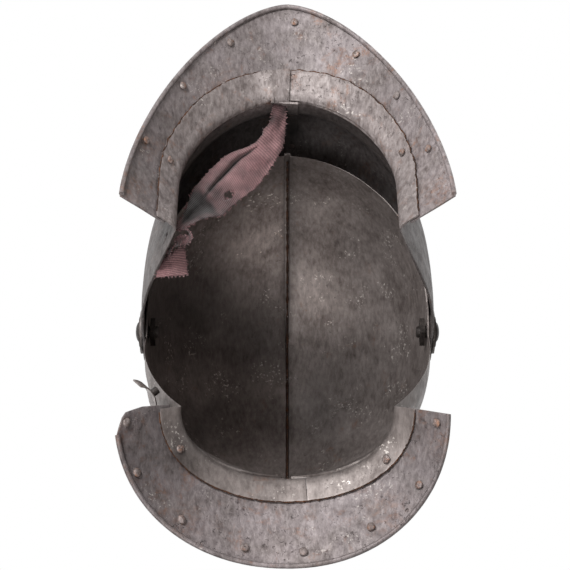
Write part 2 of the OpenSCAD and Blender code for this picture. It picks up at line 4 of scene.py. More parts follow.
import bmesh
import bpy
import numpy as np
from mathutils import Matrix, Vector, noise


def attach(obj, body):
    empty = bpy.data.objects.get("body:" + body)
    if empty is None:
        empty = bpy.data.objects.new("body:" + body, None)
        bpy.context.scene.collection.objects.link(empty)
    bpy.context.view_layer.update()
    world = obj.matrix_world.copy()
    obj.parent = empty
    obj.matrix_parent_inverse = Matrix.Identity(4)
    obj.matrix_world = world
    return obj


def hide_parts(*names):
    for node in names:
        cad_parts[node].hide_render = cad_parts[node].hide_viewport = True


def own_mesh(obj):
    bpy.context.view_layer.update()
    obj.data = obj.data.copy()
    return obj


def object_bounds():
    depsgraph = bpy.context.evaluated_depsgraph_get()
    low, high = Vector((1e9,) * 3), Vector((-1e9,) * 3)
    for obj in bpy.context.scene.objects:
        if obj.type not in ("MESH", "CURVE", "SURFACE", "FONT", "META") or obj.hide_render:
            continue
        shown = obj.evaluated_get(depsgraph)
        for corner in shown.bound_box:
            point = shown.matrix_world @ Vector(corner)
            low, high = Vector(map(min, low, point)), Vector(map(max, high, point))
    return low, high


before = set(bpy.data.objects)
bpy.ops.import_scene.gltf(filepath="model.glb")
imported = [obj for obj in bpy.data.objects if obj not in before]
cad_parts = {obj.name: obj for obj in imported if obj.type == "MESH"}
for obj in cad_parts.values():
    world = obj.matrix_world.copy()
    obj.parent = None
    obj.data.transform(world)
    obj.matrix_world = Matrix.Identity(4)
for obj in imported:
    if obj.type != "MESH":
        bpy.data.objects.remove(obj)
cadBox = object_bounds()
scene = bpy.context.scene
mm = 0.001

# The measures are the solids' own, in millimetres and degrees.
plate = {"thick": 1.5, "flat": 24.0}
skull = {"halfWidth": 96.0, "brow": 130.0, "crown": 134.0, "back": 117.0, "comb": 10.0, "power": 0.56,
         "ear": 22.0, "halfGap": 0.75}
neck = {"length": 178.0, "width": 132.0, "depth": 124.0, "mid": 1.0, "tilt": 0.045, "split": 43.0,
        "chinPower": 1.06, "napePower": 2.3}
bevor = {"halfWidth": 98.2, "power": 0.5, "open": 50.0, "ear": 20.0, "out": 4.0,
         "chinReach": 151.0, "chinDepth": 66.0}
visor = {"halfWidth": 100.8, "power": 0.53, "raised": 8.0, "reach": 168.0, "ear": 15.0,
         "sightHeight": 6.0, "sightLength": 50.0, "sightFrom": 9.0, "sightUp": 24.0,
         "breathRadius": 2.2, "breaths": 4, "breathFrom": 17.0, "breathStep": 9.5, "breathDown": 16.0, "rowStep": 9.0}
gorget = {"halfWidth": 102.0, "frontReach": 158.0, "frontDepth": 164.0, "rearReach": 136.0, "rearDepth": 156.0,
          "cornerDepth": 151.0, "frontPower": 1.65, "rearPower": 2.1, "hem": 1.6,
          "line": (1.5 - neck["split"], -2.5 - neck["split"])}
boreRadius = 4.08


def d2r(a):
    return a * pi / 180


def cosDeg(a):
    return cos(d2r(a))


def sinDeg(a):
    return sin(d2r(a))


def clamp(v):
    return min(1, max(0, v))


def wobble(*place):  # smooth noise between about -1 and 1
    return noise.noise(Vector(place))


def curveAt(table, v):
    k = 0
    while k < len(table) - 2 and v > table[k + 1][0]:
        k += 1
    def steep(i):
        a, b = max(i - 1, 0), min(i + 1, len(table) - 1)
        return (table[b][1] - table[a][1]) / (table[b][0] - table[a][0])
    w = table[k + 1][0] - table[k][0]
    s = clamp((v - table[k][0]) / w)
    return ((2 * s ** 3 - 3 * s ** 2 + 1) * table[k][1] + (s ** 3 - 2 * s ** 2 + s) * steep(k) * w
            + (3 * s ** 2 - 2 * s ** 3) * table[k + 1][1] + (s ** 3 - s ** 2) * steep(k + 1) * w)


def sideAngle(p):
    return degrees(atan2(p[1], p[0])) % 360


def signedPower(v, e):
    return copysign(abs(v) ** e, v)


# The neck ring, v degrees round from the chin.
def ringSide(v, out):
    f = neck["mid"] + (neck["length"] / 2 + out) * signedPower(cosDeg(v), neck["chinPower"])
    return f, -neck["depth"] - neck["tilt"] * (f - neck["mid"])


def ringTurn(v, out):  # 0 where the sides end, 1 at the nape
    return (-neck["split"] - ringSide(v, out)[0]) / (neck["length"] / 2 + out - neck["mid"] - neck["split"])


def ringLean(v, out):  # how far the nape's curve has not yet come in, with the side's sign
    return max(1 - max(ringTurn(v, out), 0) ** neck["napePower"], 0) ** 0.5 * np.sign(round(sinDeg(v), 9))


def ringHalf(v, out):  # rounded at the chin, straight along the sides, then full round the nape
    if cosDeg(v) > 0:
        return (neck["width"] / 2 + out) * signedPower(sinDeg(v), neck["chinPower"])
    return (neck["width"] / 2 + out) * ringLean(v, out)


def ringPoint(v, out):
    f, z = ringSide(v, out)
    return np.array([ringHalf(v, out), -f, z])


def ringOut(v, out):
    f, z = ringSide(v, out)
    wide, long, t = neck["width"] / 2 + out, neck["length"] / 2 + out, max(ringTurn(v, out), 0)
    if cosDeg(v) > 0:
        return unit(np.array([ringHalf(v, out) / wide ** 2, -(f - neck["mid"]) / long ** 2, 0]))
    slope = neck["napePower"] / 2 * t ** (neck["napePower"] - 1)
    return unit(np.array([ringLean(v, out), wide * slope / (long - neck["mid"] - neck["split"]), 0]))


frontEnd = degrees(acos((-neck["split"] + 2.5 - neck["mid"]) / (neck["length"] / 2)))
rearEnd = degrees(acos((-neck["split"] - 1.5 - neck["mid"]) / (neck["length"] / 2)))
nape = ringSide(180, 0)

# Side view outlines, as angle and reach from the pivot.
mix = lambda a, b, s: a + (b - a) * s
brow, crown, back = skull["brow"], skull["crown"], skull["back"]
skullLine = [[17, brow], [45, brow + 1], [70, mix(brow, crown, 0.55)], [90, crown], [115, crown + 3], [140, crown + 1],
             [160, mix(crown, back, 0.38)], [175, back + 3], [186, back + 0.5], [196, back - 0.4], [206, back + 2],
             [216, back + 10], [225, back + 21], [sideAngle(nape), hypot(*nape)]]
comb = skull["comb"]
combLine = [[17, 2], [60, 2.4], [78, 3], [92, 5], [112, 0.9 * comb], [130, comb], [152, comb], [172, 0.8 * comb],
            [190, 0.45 * comb], [206, 2], [218, 1.75]]
throat = ringSide(0, bevor["out"])
bevorPoints = [throat, [104, -113], [128, -100], [bevor["chinReach"] - 5, -bevor["chinDepth"] - 17],
               [bevor["chinReach"], -bevor["chinDepth"]], [bevor["chinReach"] - 4, -50], [140.5, -37]]
bevorLine = [[sideAngle(p), hypot(*p)] for p in bevorPoints]
visorPoints = [[154.5, -52.7], [164, -42.3], [visor["reach"], -27], [159, -6], [149, 15], [141, 32], [134.5, 47]]
visorLine = [[degrees(atan2(p[1], p[0])), hypot(*p)] for p in visorPoints]


def bulge(r, reach, shape):
    u = clamp((r - plate["flat"]) / (reach - plate["flat"]))
    return shape["halfWidth"] * (1 - u * u) ** shape["power"]


def rFor(reach, x, shape):
    left = max(0, 1 - (x / shape["halfWidth"]) ** (1 / shape["power"]))
    return plate["flat"] + (reach - plate["flat"]) * sqrt(left)


# A rib runs out from the ear: its angle, how far it goes, and how far its curve would reach at the middle.
def ringRib(v, out, shape):
    s = ringSide(v, out)
    r, left = hypot(*s), 1 - (ringHalf(v, out) / shape["halfWidth"]) ** (1 / shape["power"])
    return [sideAngle(s), r, plate["flat"] + (r - plate["flat"]) / sqrt(max(0.03, left))]


def middleRib(line, a, x, shape):
    return [a, rFor(curveAt(line, a), x, shape), curveAt(line, a)]


def at(a, r, x):  # a point by its angle and reach from the pivot, x to the wearer's left
    return np.array([x, -r * cosDeg(a), r * sinDeg(a)])


def plateGrids(shape, rows, ribs, lowEdge, highEdge, strips=7):
    # a plate round its pivot: an ear disc, then columns out from it, the first and last ones bent to the plate's edges
    ear, flat = shape["ear"], plate["flat"]
    flatRows = 2 if ear < flat - 1 else 0

    def levels(far, reach):
        span = reach - flat
        end = asin(clamp((far - flat) / span))
        start = asin(max(0, ear - flat) / span)
        low, n = [mix(ear, flat, i / flatRows) for i in range(flatRows)], rows - flatRows
        return low + [flat + span * sin(mix(start, end, i / n)) for i in range(n + 1)]

    def column(a, far, reach, edge, t):
        return [at(mix(a, curveAt(edge, r), t), r, bulge(r, reach, shape)) for r in levels(far, reach)]
    plan = [(ribs[0], lowEdge, k / strips) for k in range(strips, 0, -1)] + [(rib, lowEdge, 0) for rib in ribs]
    plan += [(ribs[-1], highEdge, k / strips) for k in range(1, strips + 1)]
    columns = [column(*rib, edge, t) for rib, edge, t in plan]
    foot = [mix(rib[0], curveAt(edge, ear), t) for rib, edge, t in plan]
    gap = foot[0] + 360 - foot[-1]
    foot += [foot[-1] + gap * k / 24 for k in range(1, 24)]
    disc = [[at(a, mix(boreRadius, ear, k / 4), shape["halfWidth"]) for k in range(5)] for a in foot]
    return disc, columns


def edgeTable(points, ends, lowest=0):  # edge of a plate as the angle at each reach, outermost point last
    return sorted([[hypot(*p), (sideAngle(p) - lowest) % 360 + lowest] for p in points] + ends)


def dent(p, size, seed):  # unevenness of a hand raised plate, size millimetres from dent to dent
    return wobble(p[0] / size, p[1] / size, p[2] / size + seed)


def skirtRim(w, front):
    end, line = ("front", gorget["line"][0]) if front else ("rear", gorget["line"][1])
    far = gorget[end + "Reach"] + (-line if front else line)
    s, c = sinDeg(w), cosDeg(w)
    r = rimRadius(w, gorget["halfWidth"], far, gorget[end + "Power"])
    lean = r * c / far
    y = -line - r * c if front else -line + r * c
    lop = 1 if front else 0.945 if w > 0 else 1.01  # bent a little in on the wearer's left
    return np.array([lop * r * s, y, -mix(gorget["cornerDepth"], gorget[end + "Depth"], lean)])


def unit(v):
    return v / np.linalg.norm(v)


def ringAngle(w, front):  # w is degrees round a gorget plate from its middle, v the same place on the ring
    return w * frontEnd / 90 if front else 180 - w * (180 - rearEnd) / 90


flangeBend = {"out": 3.5, "down": 5.0, "end": 2.5, "middleOut": 0.35, "middleDown": 3.6}


def skirt(w, front, d):  # d runs down the slope of the neck flange and gorget plate
    v, out = ringAngle(w, front), bevor["out"] if front else 0
    a = ringPoint(v, out) + flangeBend["out"] * ringOut(v, out) - np.array([0, 0, flangeBend["down"]])
    return a + d * unit(skirtRim(w, front) - a)


def skirtLength(w, front):
    return np.linalg.norm(skirt(w, front, 0) - skirtRim(w, front))


def skirtUp(w, front, d):
    across = skirt(w + 0.5, front, d) - skirt(w - 0.5, front, d)
    n = unit(np.cross(across, skirt(w, front, d + 1) - skirt(w, front, d)))
    return n if n[2] > 0 else -n


def rimRadius(w, half, far, power):
    s, c = abs(sinDeg(w)) / half, max(cosDeg(w), 0) / far
    return (s ** power + c ** power) ** (-1 / power)


def swing(points, angle):  # turn points up round the pivot axis
    c, s = cosDeg(angle), sinDeg(angle)
    p = np.asarray(points, float)
    return np.stack([p[:, 0], p[:, 1] * c + p[:, 2] * s, -p[:, 1] * s + p[:, 2] * c], 1)


def hexColour(code):  # sRGB hex to Blender's linear colour
    parts = [int(code[i:i + 2], 16) / 255 for i in (1, 3, 5)]
    return [c / 12.92 if c <= 0.04045 else ((c + 0.055) / 1.055) ** 2.4 for c in parts] + [1.0]


def gridFaces(grid, offset, loop):
    n, m = len(grid), len(grid[0])
    pairs = [(offset + i * m + j, offset + (i + 1) % n * m + j)
             for i in range(n if loop else n - 1) for j in range(m - 1)]
    return [(a, b, b + 1, a + 1) for a, b in pairs]


def newMesh(name, verts, faces):
    mesh = bpy.data.meshes.new(name)
    mesh.from_pydata([tuple(v) for v in verts], [], faces)
    return mesh


def newPiece(name, mesh=None):
    piece = bpy.data.objects.new(name, mesh or bpy.data.meshes.new(name))
    scene.collection.objects.link(piece)
    return piece


sheet = {"merge": 0.02, "wear": 0.32, "wornFrom": 48, "smoothTo": 38, "broadDent": 34, "smallDent": 11}


def buildPlate(name, grids, dents, seed, mirror=False, even=True):
    # grids are (columns of points, closed round or not); the sheet gets its thickness, dents and worn edge here
    verts, faces = [], []
    for grid, loop in grids:
        faces += gridFaces(grid, len(verts), loop)
        verts += [p for column in grid for p in column]
    if mirror:
        verts = [np.array([-p[0], p[1], p[2]]) for p in verts]
        faces = [f[::-1] for f in faces]
    mesh = newMesh(name, verts, faces)
    bm = bmesh.new()
    bm.from_mesh(mesh)
    bmesh.ops.remove_doubles(bm, verts=bm.verts, dist=sheet["merge"])
    bmesh.ops.dissolve_degenerate(bm, edges=bm.edges, dist=0.001)
    bm.normal_update()
    for v in bm.verts:
        broad, small = dent(v.co, sheet["broadDent"], seed), dent(v.co, sheet["smallDent"], seed + 9)
        v.co += v.normal * (dents[0] * broad + dents[1] * small)
    bm.to_mesh(mesh)
    bm.free()
    piece = newPiece(name, mesh)
    solid = piece.modifiers.new("thickness", "SOLIDIFY")
    solid.thickness, solid.offset = plate["thick"], -1
    solid.use_even_offset = even  # off where a fold is too sharp to keep its thickness
    solid.use_quality_normals = True
    solid.thickness_clamp = 1.2
    worn = piece.modifiers.new("wornEdge", "BEVEL")
    worn.width, worn.segments, worn.limit_method = sheet["wear"], 2, "ANGLE"
    worn.angle_limit = d2r(sheet["wornFrom"])
    return piece


def applied(piece):  # the piece's mesh with its modifiers in it
    shown = piece.evaluated_get(bpy.context.evaluated_depsgraph_get())
    mesh = bpy.data.meshes.new_from_object(shown)
    piece.modifiers.clear()
    return mesh


def settle(piece, angle=0, extra=()):
    # applies the modifiers, turns the piece up by angle, joins tubes to it and brings it to metres
    mesh = applied(piece)
    bm = bmesh.new()
    bm.from_mesh(mesh)
    for part in extra:
        bm.from_mesh(part)
    turned = swing([v.co for v in bm.verts], angle) * mm
    for v, p in zip(bm.verts, turned):
        v.co = p
    bm.to_mesh(mesh)
    bm.free()
    mesh.shade_smooth()
    mesh.set_sharp_from_angle(angle=d2r(sheet["smoothTo"]))
    piece.data = mesh
    return piece


def ringFaces(rings, sides):  # joins rings of points to a closed tube
    pairs = [(i * sides + k, i * sides + (k + 1) % sides) for i in range(rings - 1) for k in range(sides)]
    ends = [tuple(range(sides - 1, -1, -1)), tuple(range((rings - 1) * sides, rings * sides))]
    return [(a, b, b + sides, a + sides) for a, b in pairs] + ends


def roundPoints(sides):
    return [(cos(t), sin(t)) for t in np.linspace(0, 2 * pi, sides, endpoint=False)]


def pathFrame(path, i):  # two directions across a path at its point i
    along = unit(path[min(i + 1, len(path) - 1)] - path[max(i - 1, 0)])
    across = unit(np.cross(along, [0, 0, 1]))
    return across, np.cross(across, along)


def tubeMesh(path, radius, sides=14):
    path, verts = [np.array(p, float) for p in path], []
    for i, p in enumerate(path):
        a, b = pathFrame(path, i)
        r = radius[i] if isinstance(radius, (list, np.ndarray)) else radius
        verts += [p + r * (c * a + s * b) for c, s in roundPoints(sides)]
    return newMesh("tube", verts, ringFaces(len(path), sides))


# The camera looks straight up into the neck, where the photograph was taken from.
view = {"place": (-1.7, -32.4, -1200.0), "lens": 109.9}
cameraData = bpy.data.cameras.new("camera")
cameraData.lens = view["lens"]
cameraData.sensor_width = 36
cameraData.clip_end = 20
camera = newPiece("camera", cameraData)
camera.location = [c * mm for c in view["place"]]
camera.rotation_euler = (pi, 0, 0)
scene.camera = camera
scene.view_settings.view_transform = "Standard"
print("camera placed")

# Skull halves: one ragged sheet each, with its side of the comb.
skullPlate = {"rows": 34, "dents": (0.3, 0.1), "rearFlange": 11.0, "ragged": 0.5, "first": 17, "bends": 7}
bevorPlate = {"rows": 30, "dents": (0.2, 0.08), "frontFlange": 16.5, "sideFlange": 10.0, "ragged": 1.15,
              "lap": 9.0, "lapRise": 4.5, "bends": 7}
edgeX = skull["halfGap"] + plate["thick"]
browEdge = [[21, -7], [31, -3], [43, 2], [57, 8.5], [73, 15.5], [90, 22.8], [106, 29.3], [117, 34], [124.3, 38]]
sideEdge = [[-32.4, -96], [-22.1, -69], [-13.3, -45], [-7.6, -30]]
napeAngle = sideAngle(nape)


def combTop(a):
    return curveAt(combLine, a) if a < 218 else mix(1.75, 0.8, (a - 218) / (napeAngle - 218))


def flangeGrid(front, lefty, ws, feet, torn, between, drop=lambda w: 0):
    # from the plate's foot on the ring, round a small bend and out down the slope under the gorget plate; it starts
    # at the torn end, and between are the places where the plate has no foot
    out, ends, grid = bevor["out"] if front else 0, dict(zip(ws, feet)), []
    for w in sorted([w for w in ws if w > torn + 0.6] + [torn] + between):
        v, up, down = ringAngle(w, front), skirtUp(w, front, 4), drop(w)
        p = ends.get(w, ringPoint(v, out) - down * ringOut(v, out))
        start = skirt(w, front, flangeBend["end"]) - down * up
        bend = ringPoint(v, out) + (flangeBend["middleOut"] - 1.25 * down) * ringOut(v, out)
        bend = bend - np.array([0, 0, flangeBend["middleDown"]])
        column = [p] + [(1 - t) ** 2 * p + 2 * t * (1 - t) * bend + t * t * start for t in (0.25, 0.5, 0.75, 1)]
        slope = np.linspace(flangeBend["end"], flangeWidth(w, lefty, front), 7)
        grid.append(column + [skirt(w, front, d) - down * up for d in slope[1:]])
    return grid


def ragged(w, seed, size):  # torn and filed edge of a flange, in millimetres
    return size * (wobble(w * 0.35, seed, 0) + 0.6 * wobble(w * 1.3, seed, 5))


def flangeWidth(w, lefty, front):
    if not front:
        return skullPlate["rearFlange"] + ragged(w, 3 + lefty, skullPlate["ragged"])
    wide = mix(bevorPlate["sideFlange"], bevorPlate["frontFlange"], max(cosDeg(w), 0) ** 1.5)
    return wide + ragged(w, 1 + lefty, bevorPlate["ragged"])


def skullHalf(lefty):
    topAngles = np.linspace(skullPlate["first"], napeAngle - 0.8, 90)
    # ribs beside the nape, evenly spaced by angle because the ring turns sharply there
    vs = np.linspace(179.9, rearEnd, 600)
    angles, v0 = [sideAngle(ringSide(v, 0)) for v in vs], np.interp(edgeX, [ringHalf(v, 0) for v in vs], vs)
    steps = np.concatenate([[0.3, 0.6, 0.95], np.arange(1.4, angles[-1] - napeAngle - 0.2, 0.45)])
    vs = [v0] + np.interp(napeAngle + steps, angles, vs).tolist() + [rearEnd]
    ws = [(180 - v) * 90 / (180 - rearEnd) for v in vs]
    ribs = [middleRib(skullLine, a, edgeX, skull) for a in topAngles]
    ribs += [ringRib(ringAngle(w, False), 0, skull) for w in ws]
    front = edgeTable(browEdge, [[22, -19], ribs[0][1::-1]], -180)
    rear = edgeTable(sideEdge, [[22, 262], ribs[-1][1::-1]])
    disc, columns = plateGrids(skull, skullPlate["rows"], ribs, front, rear)
    topAt = skullPlate["bends"]
    wall = []
    for a, column in zip(topAngles, columns[topAt:topAt + len(topAngles)]):
        top = curveAt(skullLine, a) + combTop(a) - (0 if lefty else plate["thick"] + 0.15)
        foot = rFor(curveAt(skullLine, a), edgeX, skull)
        side = [column[-1]] + [at(a, mix(foot, top, t), edgeX) for t in (0.35, 0.7, 1)]
        if lefty:
            side += [at(a, top + 0.25, 0), at(a, top, -edgeX)]
        wall.append(side)
    # the wearer's right flange runs on past the middle, and the left one starts beside its torn end
    feet = [column[-1] for column in columns[topAt + len(topAngles):]]
    grid = flangeGrid(False, lefty, ws, feet, 9.6 if lefty else -9.2, [] if lefty else [-6, -3, 0])
    grids = [(disc, True), (columns, False), (wall, False), (grid[::-1], False)]
    name, seed = ("skullLeft", 2) if lefty else ("skullRight", 14)
    return settle(buildPlate(name, grids, skullPlate["dents"], seed, not lefty, False))


skullPieces = [skullHalf(True), skullHalf(False)]
print("skull halves made")

# Bevor halves: the right one steps in behind the left at the chin.
rearEdge = [[-18, -10], [-26, -30], [-36, -60], [-43.5, -89], [-44, -111]]
brim = [[121, -31.5], [100, -25], [80, -18.5], [60, -11], [45, -4.5], [31, 3.5], [19, 10.5]]


def ringAcross(x, out):  # where the ring's chin is x to the side of the middle
    return degrees(asin((x / (neck["width"] / 2 + out)) ** (1 / neck["chinPower"])))


def bevorHalf(lefty):
    out = bevor["out"]
    x0 = 0.12 if lefty else bevorPlate["lap"]
    ws = [v * 90 / frontEnd for v in np.linspace(frontEnd, ringAcross(x0, out), 44)]
    midAngles = np.linspace(bevorLine[0][0], bevorLine[-1][0], 30)
    ribs = [ringRib(ringAngle(w, True), out, bevor) for w in ws]
    ribs += [middleRib(bevorLine, a, x0, bevor) for a in midAngles]
    rear = edgeTable(rearEdge, [[20, 204], ribs[0][1::-1]])
    front = edgeTable(brim, [[20, 395], ribs[-1][1::-1]], 180)
    disc, columns = plateGrids(bevor, bevorPlate["rows"], ribs, rear, front)
    ringAt = bevorPlate["bends"]
    middleAt = ringAt + len(ws)
    grids = [(disc, True), (columns, False)]

    def sink(x):  # how far the lap has stepped in behind the left half
        t = clamp((bevorPlate["lap"] - x) / bevorPlate["lapRise"])
        return (plate["thick"] + 0.15) * t * t * (3 - 2 * t)

    def dropAt(w):  # the same for its flange
        return 0 if lefty else (plate["thick"] + 0.3) * clamp((11 - w) / 4)

    if not lefty:
        xs = [9, 8, 7, 6, 5, 4.2, 2, 0, -2, -4, -5.8, -7.5]
        foot = [columns[middleAt - 1][-1]]
        for x in xs[1:]:  # the lap's foot turns into the flange
            v = ringAcross(max(abs(x), 0.01), out)
            p = ringPoint(v, out) - 1.09 * sink(x) * ringOut(v, out)
            foot.append(np.array([x, p[1], p[2]]))
        lap = [foot]
        for a, column in list(zip(midAngles, columns[middleAt:]))[1:]:
            lap.append([column[-1]] + [at(a, rFor(curveAt(bevorLine, a), abs(x), bevor) - sink(x), x) for x in xs[1:]])
        grids.append((lap, False))
    feet = [column[-1] for column in columns[ringAt:]]
    between = [0] if lefty else [9.5, 8, 6.5, 5, 3, 1]
    flange = flangeGrid(True, lefty, ws, feet, -2.2 if lefty else -1.0, between, dropAt)
    grids.append((flange, False))
    name, seed = ("bevorLeft", 31) if lefty else ("bevorRight", 47)
    return buildPlate(name, grids, bevorPlate["dents"], seed, not lefty)


def roundCutter(name, start, along, radius, sides=24):
    return newPiece(name, tubeMesh([start, np.array(start) + along], radius, sides))


def cutWith(piece, cutters):
    for c in cutters:
        hole = piece.modifiers.new(c.name, "BOOLEAN")
        hole.operation, hole.object, hole.solver = "DIFFERENCE", c, "EXACT"
    piece.data = applied(piece)
    for c in cutters:
        bpy.data.objects.remove(c)
    return piece


cheek = {"angle": 253.2, "reach": 112.5, "radius": 3.8}
ringRibs = [ringRib(ringAngle(w, True), bevor["out"], bevor) for w in np.linspace(90, 0.5, 40)]


def onBevor(a, r):
    reach = float(np.interp(a, [rib[0] for rib in ringRibs], [rib[2] for rib in ringRibs]))
    return at(a, r, bulge(r, reach, bevor))


def onSkull(a, r):
    return at(a, r, bulge(r, curveAt(skullLine, a), skull))


def spot(surface, place):  # a point of a plate's left side, and the way out from it
    a, r = place["angle"], place["reach"]
    p = surface(a, r)
    out = unit(np.cross(surface(a + 1, r) - p, surface(a, r + 1) - p))
    return p, out if out[0] > 0 else -out


cheekPoint, cheekOut = spot(onBevor, cheek)
bevorLeft = settle(bevorHalf(True), bevor["open"])
bevorRight = bevorHalf(False)
flipX = np.array([-1, 1, 1])
hole = roundCutter("cheekHole", (cheekPoint - 8 * cheekOut) * flipX, 16 * cheekOut * flipX, cheek["radius"])
bevorRight = settle(cutWith(bevorRight, [hole]), bevor["open"])
print("bevor halves made")

# Visor: one piece, with its two sights and the breaths below them.
visorPlate = {"rows": 30, "dents": (0.2, 0.08)}


def makeVisor():
    ribs = [[a] + 2 * [curveAt(visorLine, a)] for a in np.linspace(visorLine[0][0], visorLine[-1][0], 48)]
    high = [[124, 43.8], [100, 35.7], [75, 27.4], [50, 19.2], [27, 12], [14, 8]]
    low = [[15, -20.6], [40, -20.2], [90, -19.6], [visorLine[0][1], ribs[0][0]]]
    disc, columns = plateGrids(visor, visorPlate["rows"], ribs, low, edgeTable(high, [ribs[-1][1::-1]]))
    grids = [(disc, True), (columns, False)]
    grids += [([[p * flipX for p in c] for c in grid][::-1], loop) for grid, loop in grids]
    piece = buildPlate("visor", grids, visorPlate["dents"], 61)
    cutters = []
    box = [(0, 1, 3, 2), (4, 6, 7, 5), (0, 4, 5, 1), (2, 3, 7, 6), (0, 2, 6, 4), (1, 5, 7, 3)]
    for side in (-1, 1):
        sx = side * (visor["sightFrom"] + visor["sightLength"] / 2)
        corners = [(sx + i * visor["sightLength"] / 2, y, visor["sightUp"] + k * visor["sightHeight"] / 2)
                   for i in (-1, 1) for y in (-220, -80) for k in (-1, 1)]
        cutters.append(newPiece("sight", newMesh("sight", corners, box)))
        for row in (0, 1):
            for k in range(visor["breaths"]):
                across = visor["breathFrom"] + visor["breathStep"] * (k + row / 2)
                place = (side * across, -60, -visor["breathDown"] - visor["rowStep"] * row)
                cutters.append(roundCutter("breath", place, np.array([0, -130, 0]), visor["breathRadius"], 20))
    return settle(cutWith(piece, cutters), bevor["open"] + visor["raised"])


visorPiece = makeVisor()
print("visor made")

# Gorget plates: sheet with a rolled hem, riveted over the neck flanges.
gorgetPlate = {"columns": 150, "rows": 16, "dents": (0.35, 0.14), "lift": 0.2}
gorgetTop = gorgetPlate["lift"] + plate["thick"]


def endTurn(w, t, front):  # the rear plate's right end is cut back at its corner, and longer beside the flange
    if front or w > -62:
        return w
    return w + np.interp(t, [0, 0.5, 0.84, 1], [-1.6, -1.8, 0, 7]) * ((-62 - w) / 28) ** 2


def makeGorget(front):
    grid, rim = [], []
    for w in np.linspace(-90, 90, gorgetPlate["columns"] + 1):
        up, near = skirtUp(w, front, 20), 2.2 + 0.6 * ragged(w, 8, 1)
        column = []
        for t in np.linspace(0, 1, gorgetPlate["rows"] + 1):
            turn = endTurn(w, t, front)
            column.append(skirt(turn, front, mix(near, skirtLength(turn, front) - 0.4, t)) + gorgetTop * up)
        grid.append(column)
        turn = endTurn(w, 1, front)
        rim.append(skirt(turn, front, skirtLength(turn, front)) + (0.6 + 0.12 * ragged(w, 12, 1)) * up)
    name, seed = ("frontGorget", 80) if front else ("rearGorget", 93)
    piece = buildPlate(name, [(grid if front else grid[::-1], False)], gorgetPlate["dents"], seed)
    return settle(piece, bevor["open"] if front else 0, [tubeMesh(rim, gorget["hem"])])


frontGorget, rearGorget = makeGorget(True), makeGorget(False)
print("gorget plates made")

# Rivets, by degrees round the plate and millimetres in from its rim, or out from the ring for those of the flanges;
# low domes, beaten down unevenly on both sides.
rivet = {"head": 3.0, "rise": 1.5, "tail": 2.7, "tailRise": 1.1, "shank": 1.6, "uneven": 0.16}
rivetPlaces = {
    "frontGorgetRivets": [(-59, 6), (-32.5, 7), (-14, 8.6), (1.5, 12), (18, 9.7), (36, 8.7), (62, 8.8)],
    "rearGorgetRivets": [(-86.5, 7), (-68, 6), (-43.5, 9.6), (-17, 9.6), (6.5, 9.2), (36, 12), (61.5, 8.8), (86, 8.7)],
    "frontFlangeRivets": [(-61, 6.6), (57, 6.6)], "rearFlangeRivets": [(-64, 5.8), (56.5, 5.8)]}


def turnedMesh(profile, foot, up, seed=0, uneven=0.0, sides=20):
    # profile is radius and height, from the middle of the top to the middle of the underside
    side = unit(np.cross(up, [0.31, 0.95, 0.1]))
    across = np.cross(up, side)
    verts = []
    for r, h in profile:
        for c, s in roundPoints(sides):
            worn = 1 + uneven * wobble(1.3 * c, 1.3 * s, seed)
            verts.append(foot + h * worn * up + r * worn * (c * side + s * across))
    return newMesh("turned", verts, [face[::-1] for face in ringFaces(len(profile), sides)])


def makeRivets(name):
    parts, front, flange = [], name.startswith("front"), "Flange" in name
    grip = plate["thick"] + (gorgetTop if flange else 0)
    arc = np.linspace(0.02, 1.57, 6)
    profile = [(rivet["head"] * sin(t), rivet["rise"] * cos(t)) for t in arc]
    profile += [(rivet["shank"], 0), (rivet["shank"], -grip)]
    profile += [(rivet["tail"] * sin(t), -grip - rivet["tailRise"] * cos(t)) for t in arc[::-1]]
    for k, (w, d) in enumerate(rivetPlaces[name]):
        d = d if flange else skirtLength(w, front) - d
        up = skirtUp(w, front, d)
        foot = skirt(w, front, d) + gorgetTop * up
        parts.append(turnedMesh(profile, foot, up, len(name) + 3 * k, rivet["uneven"]))
    return settle(newPiece(name), bevor["open"] if front else 0, parts)


rivets = {name: makeRivets(name) for name in rivetPlaces}
print("rivets made")

# Nearly black filler along the flanges' edges and in the slit under the comb: painted shade for the gaps there, with
# some rust.
seam = {"radius": 0.55, "comb": 0.95, "start": 21}


def makeSeam(name, path, size, angle):
    radius = [max(0.12, size * (0.75 + 0.8 * wobble(0.7 * k, 3, 1))) for k in range(len(path))]
    return settle(newPiece(name), angle, [tubeMesh(path, radius, 8)])


def flangeSeam(name, front):
    path = []
    for w in np.linspace(-88, 88, 170):
        wide = flangeWidth(abs(w), w > 0, front)
        path.append(skirt(w, front, wide + 0.25) + 0.3 * skirtUp(w, front, wide))
    return makeSeam(name, path, seam["radius"], bevor["open"] if front else 0)


frontSeam, rearSeam = flangeSeam("frontSeam", True), flangeSeam("rearSeam", False)
slit = [at(a, curveAt(skullLine, a) - 1.2, 0.15 * wobble(a, 0, 0))
        for a in np.linspace(seam["start"], napeAngle - 1, 150)]
combSeam = makeSeam("combSeam", slit, seam["comb"], 0)
print("seams made")

# Sprung catch low on the wearer's right: a leaf that bows clear of the skull, and its stud.
catch = {"angle": 229, "reach": 108.0, "lift": 0.6, "sprung": 6.0, "width": 11.0, "thick": 1.1, "curl": 13.0,
         "stud": 2.6, "bow": 135, "curlBow": 16}


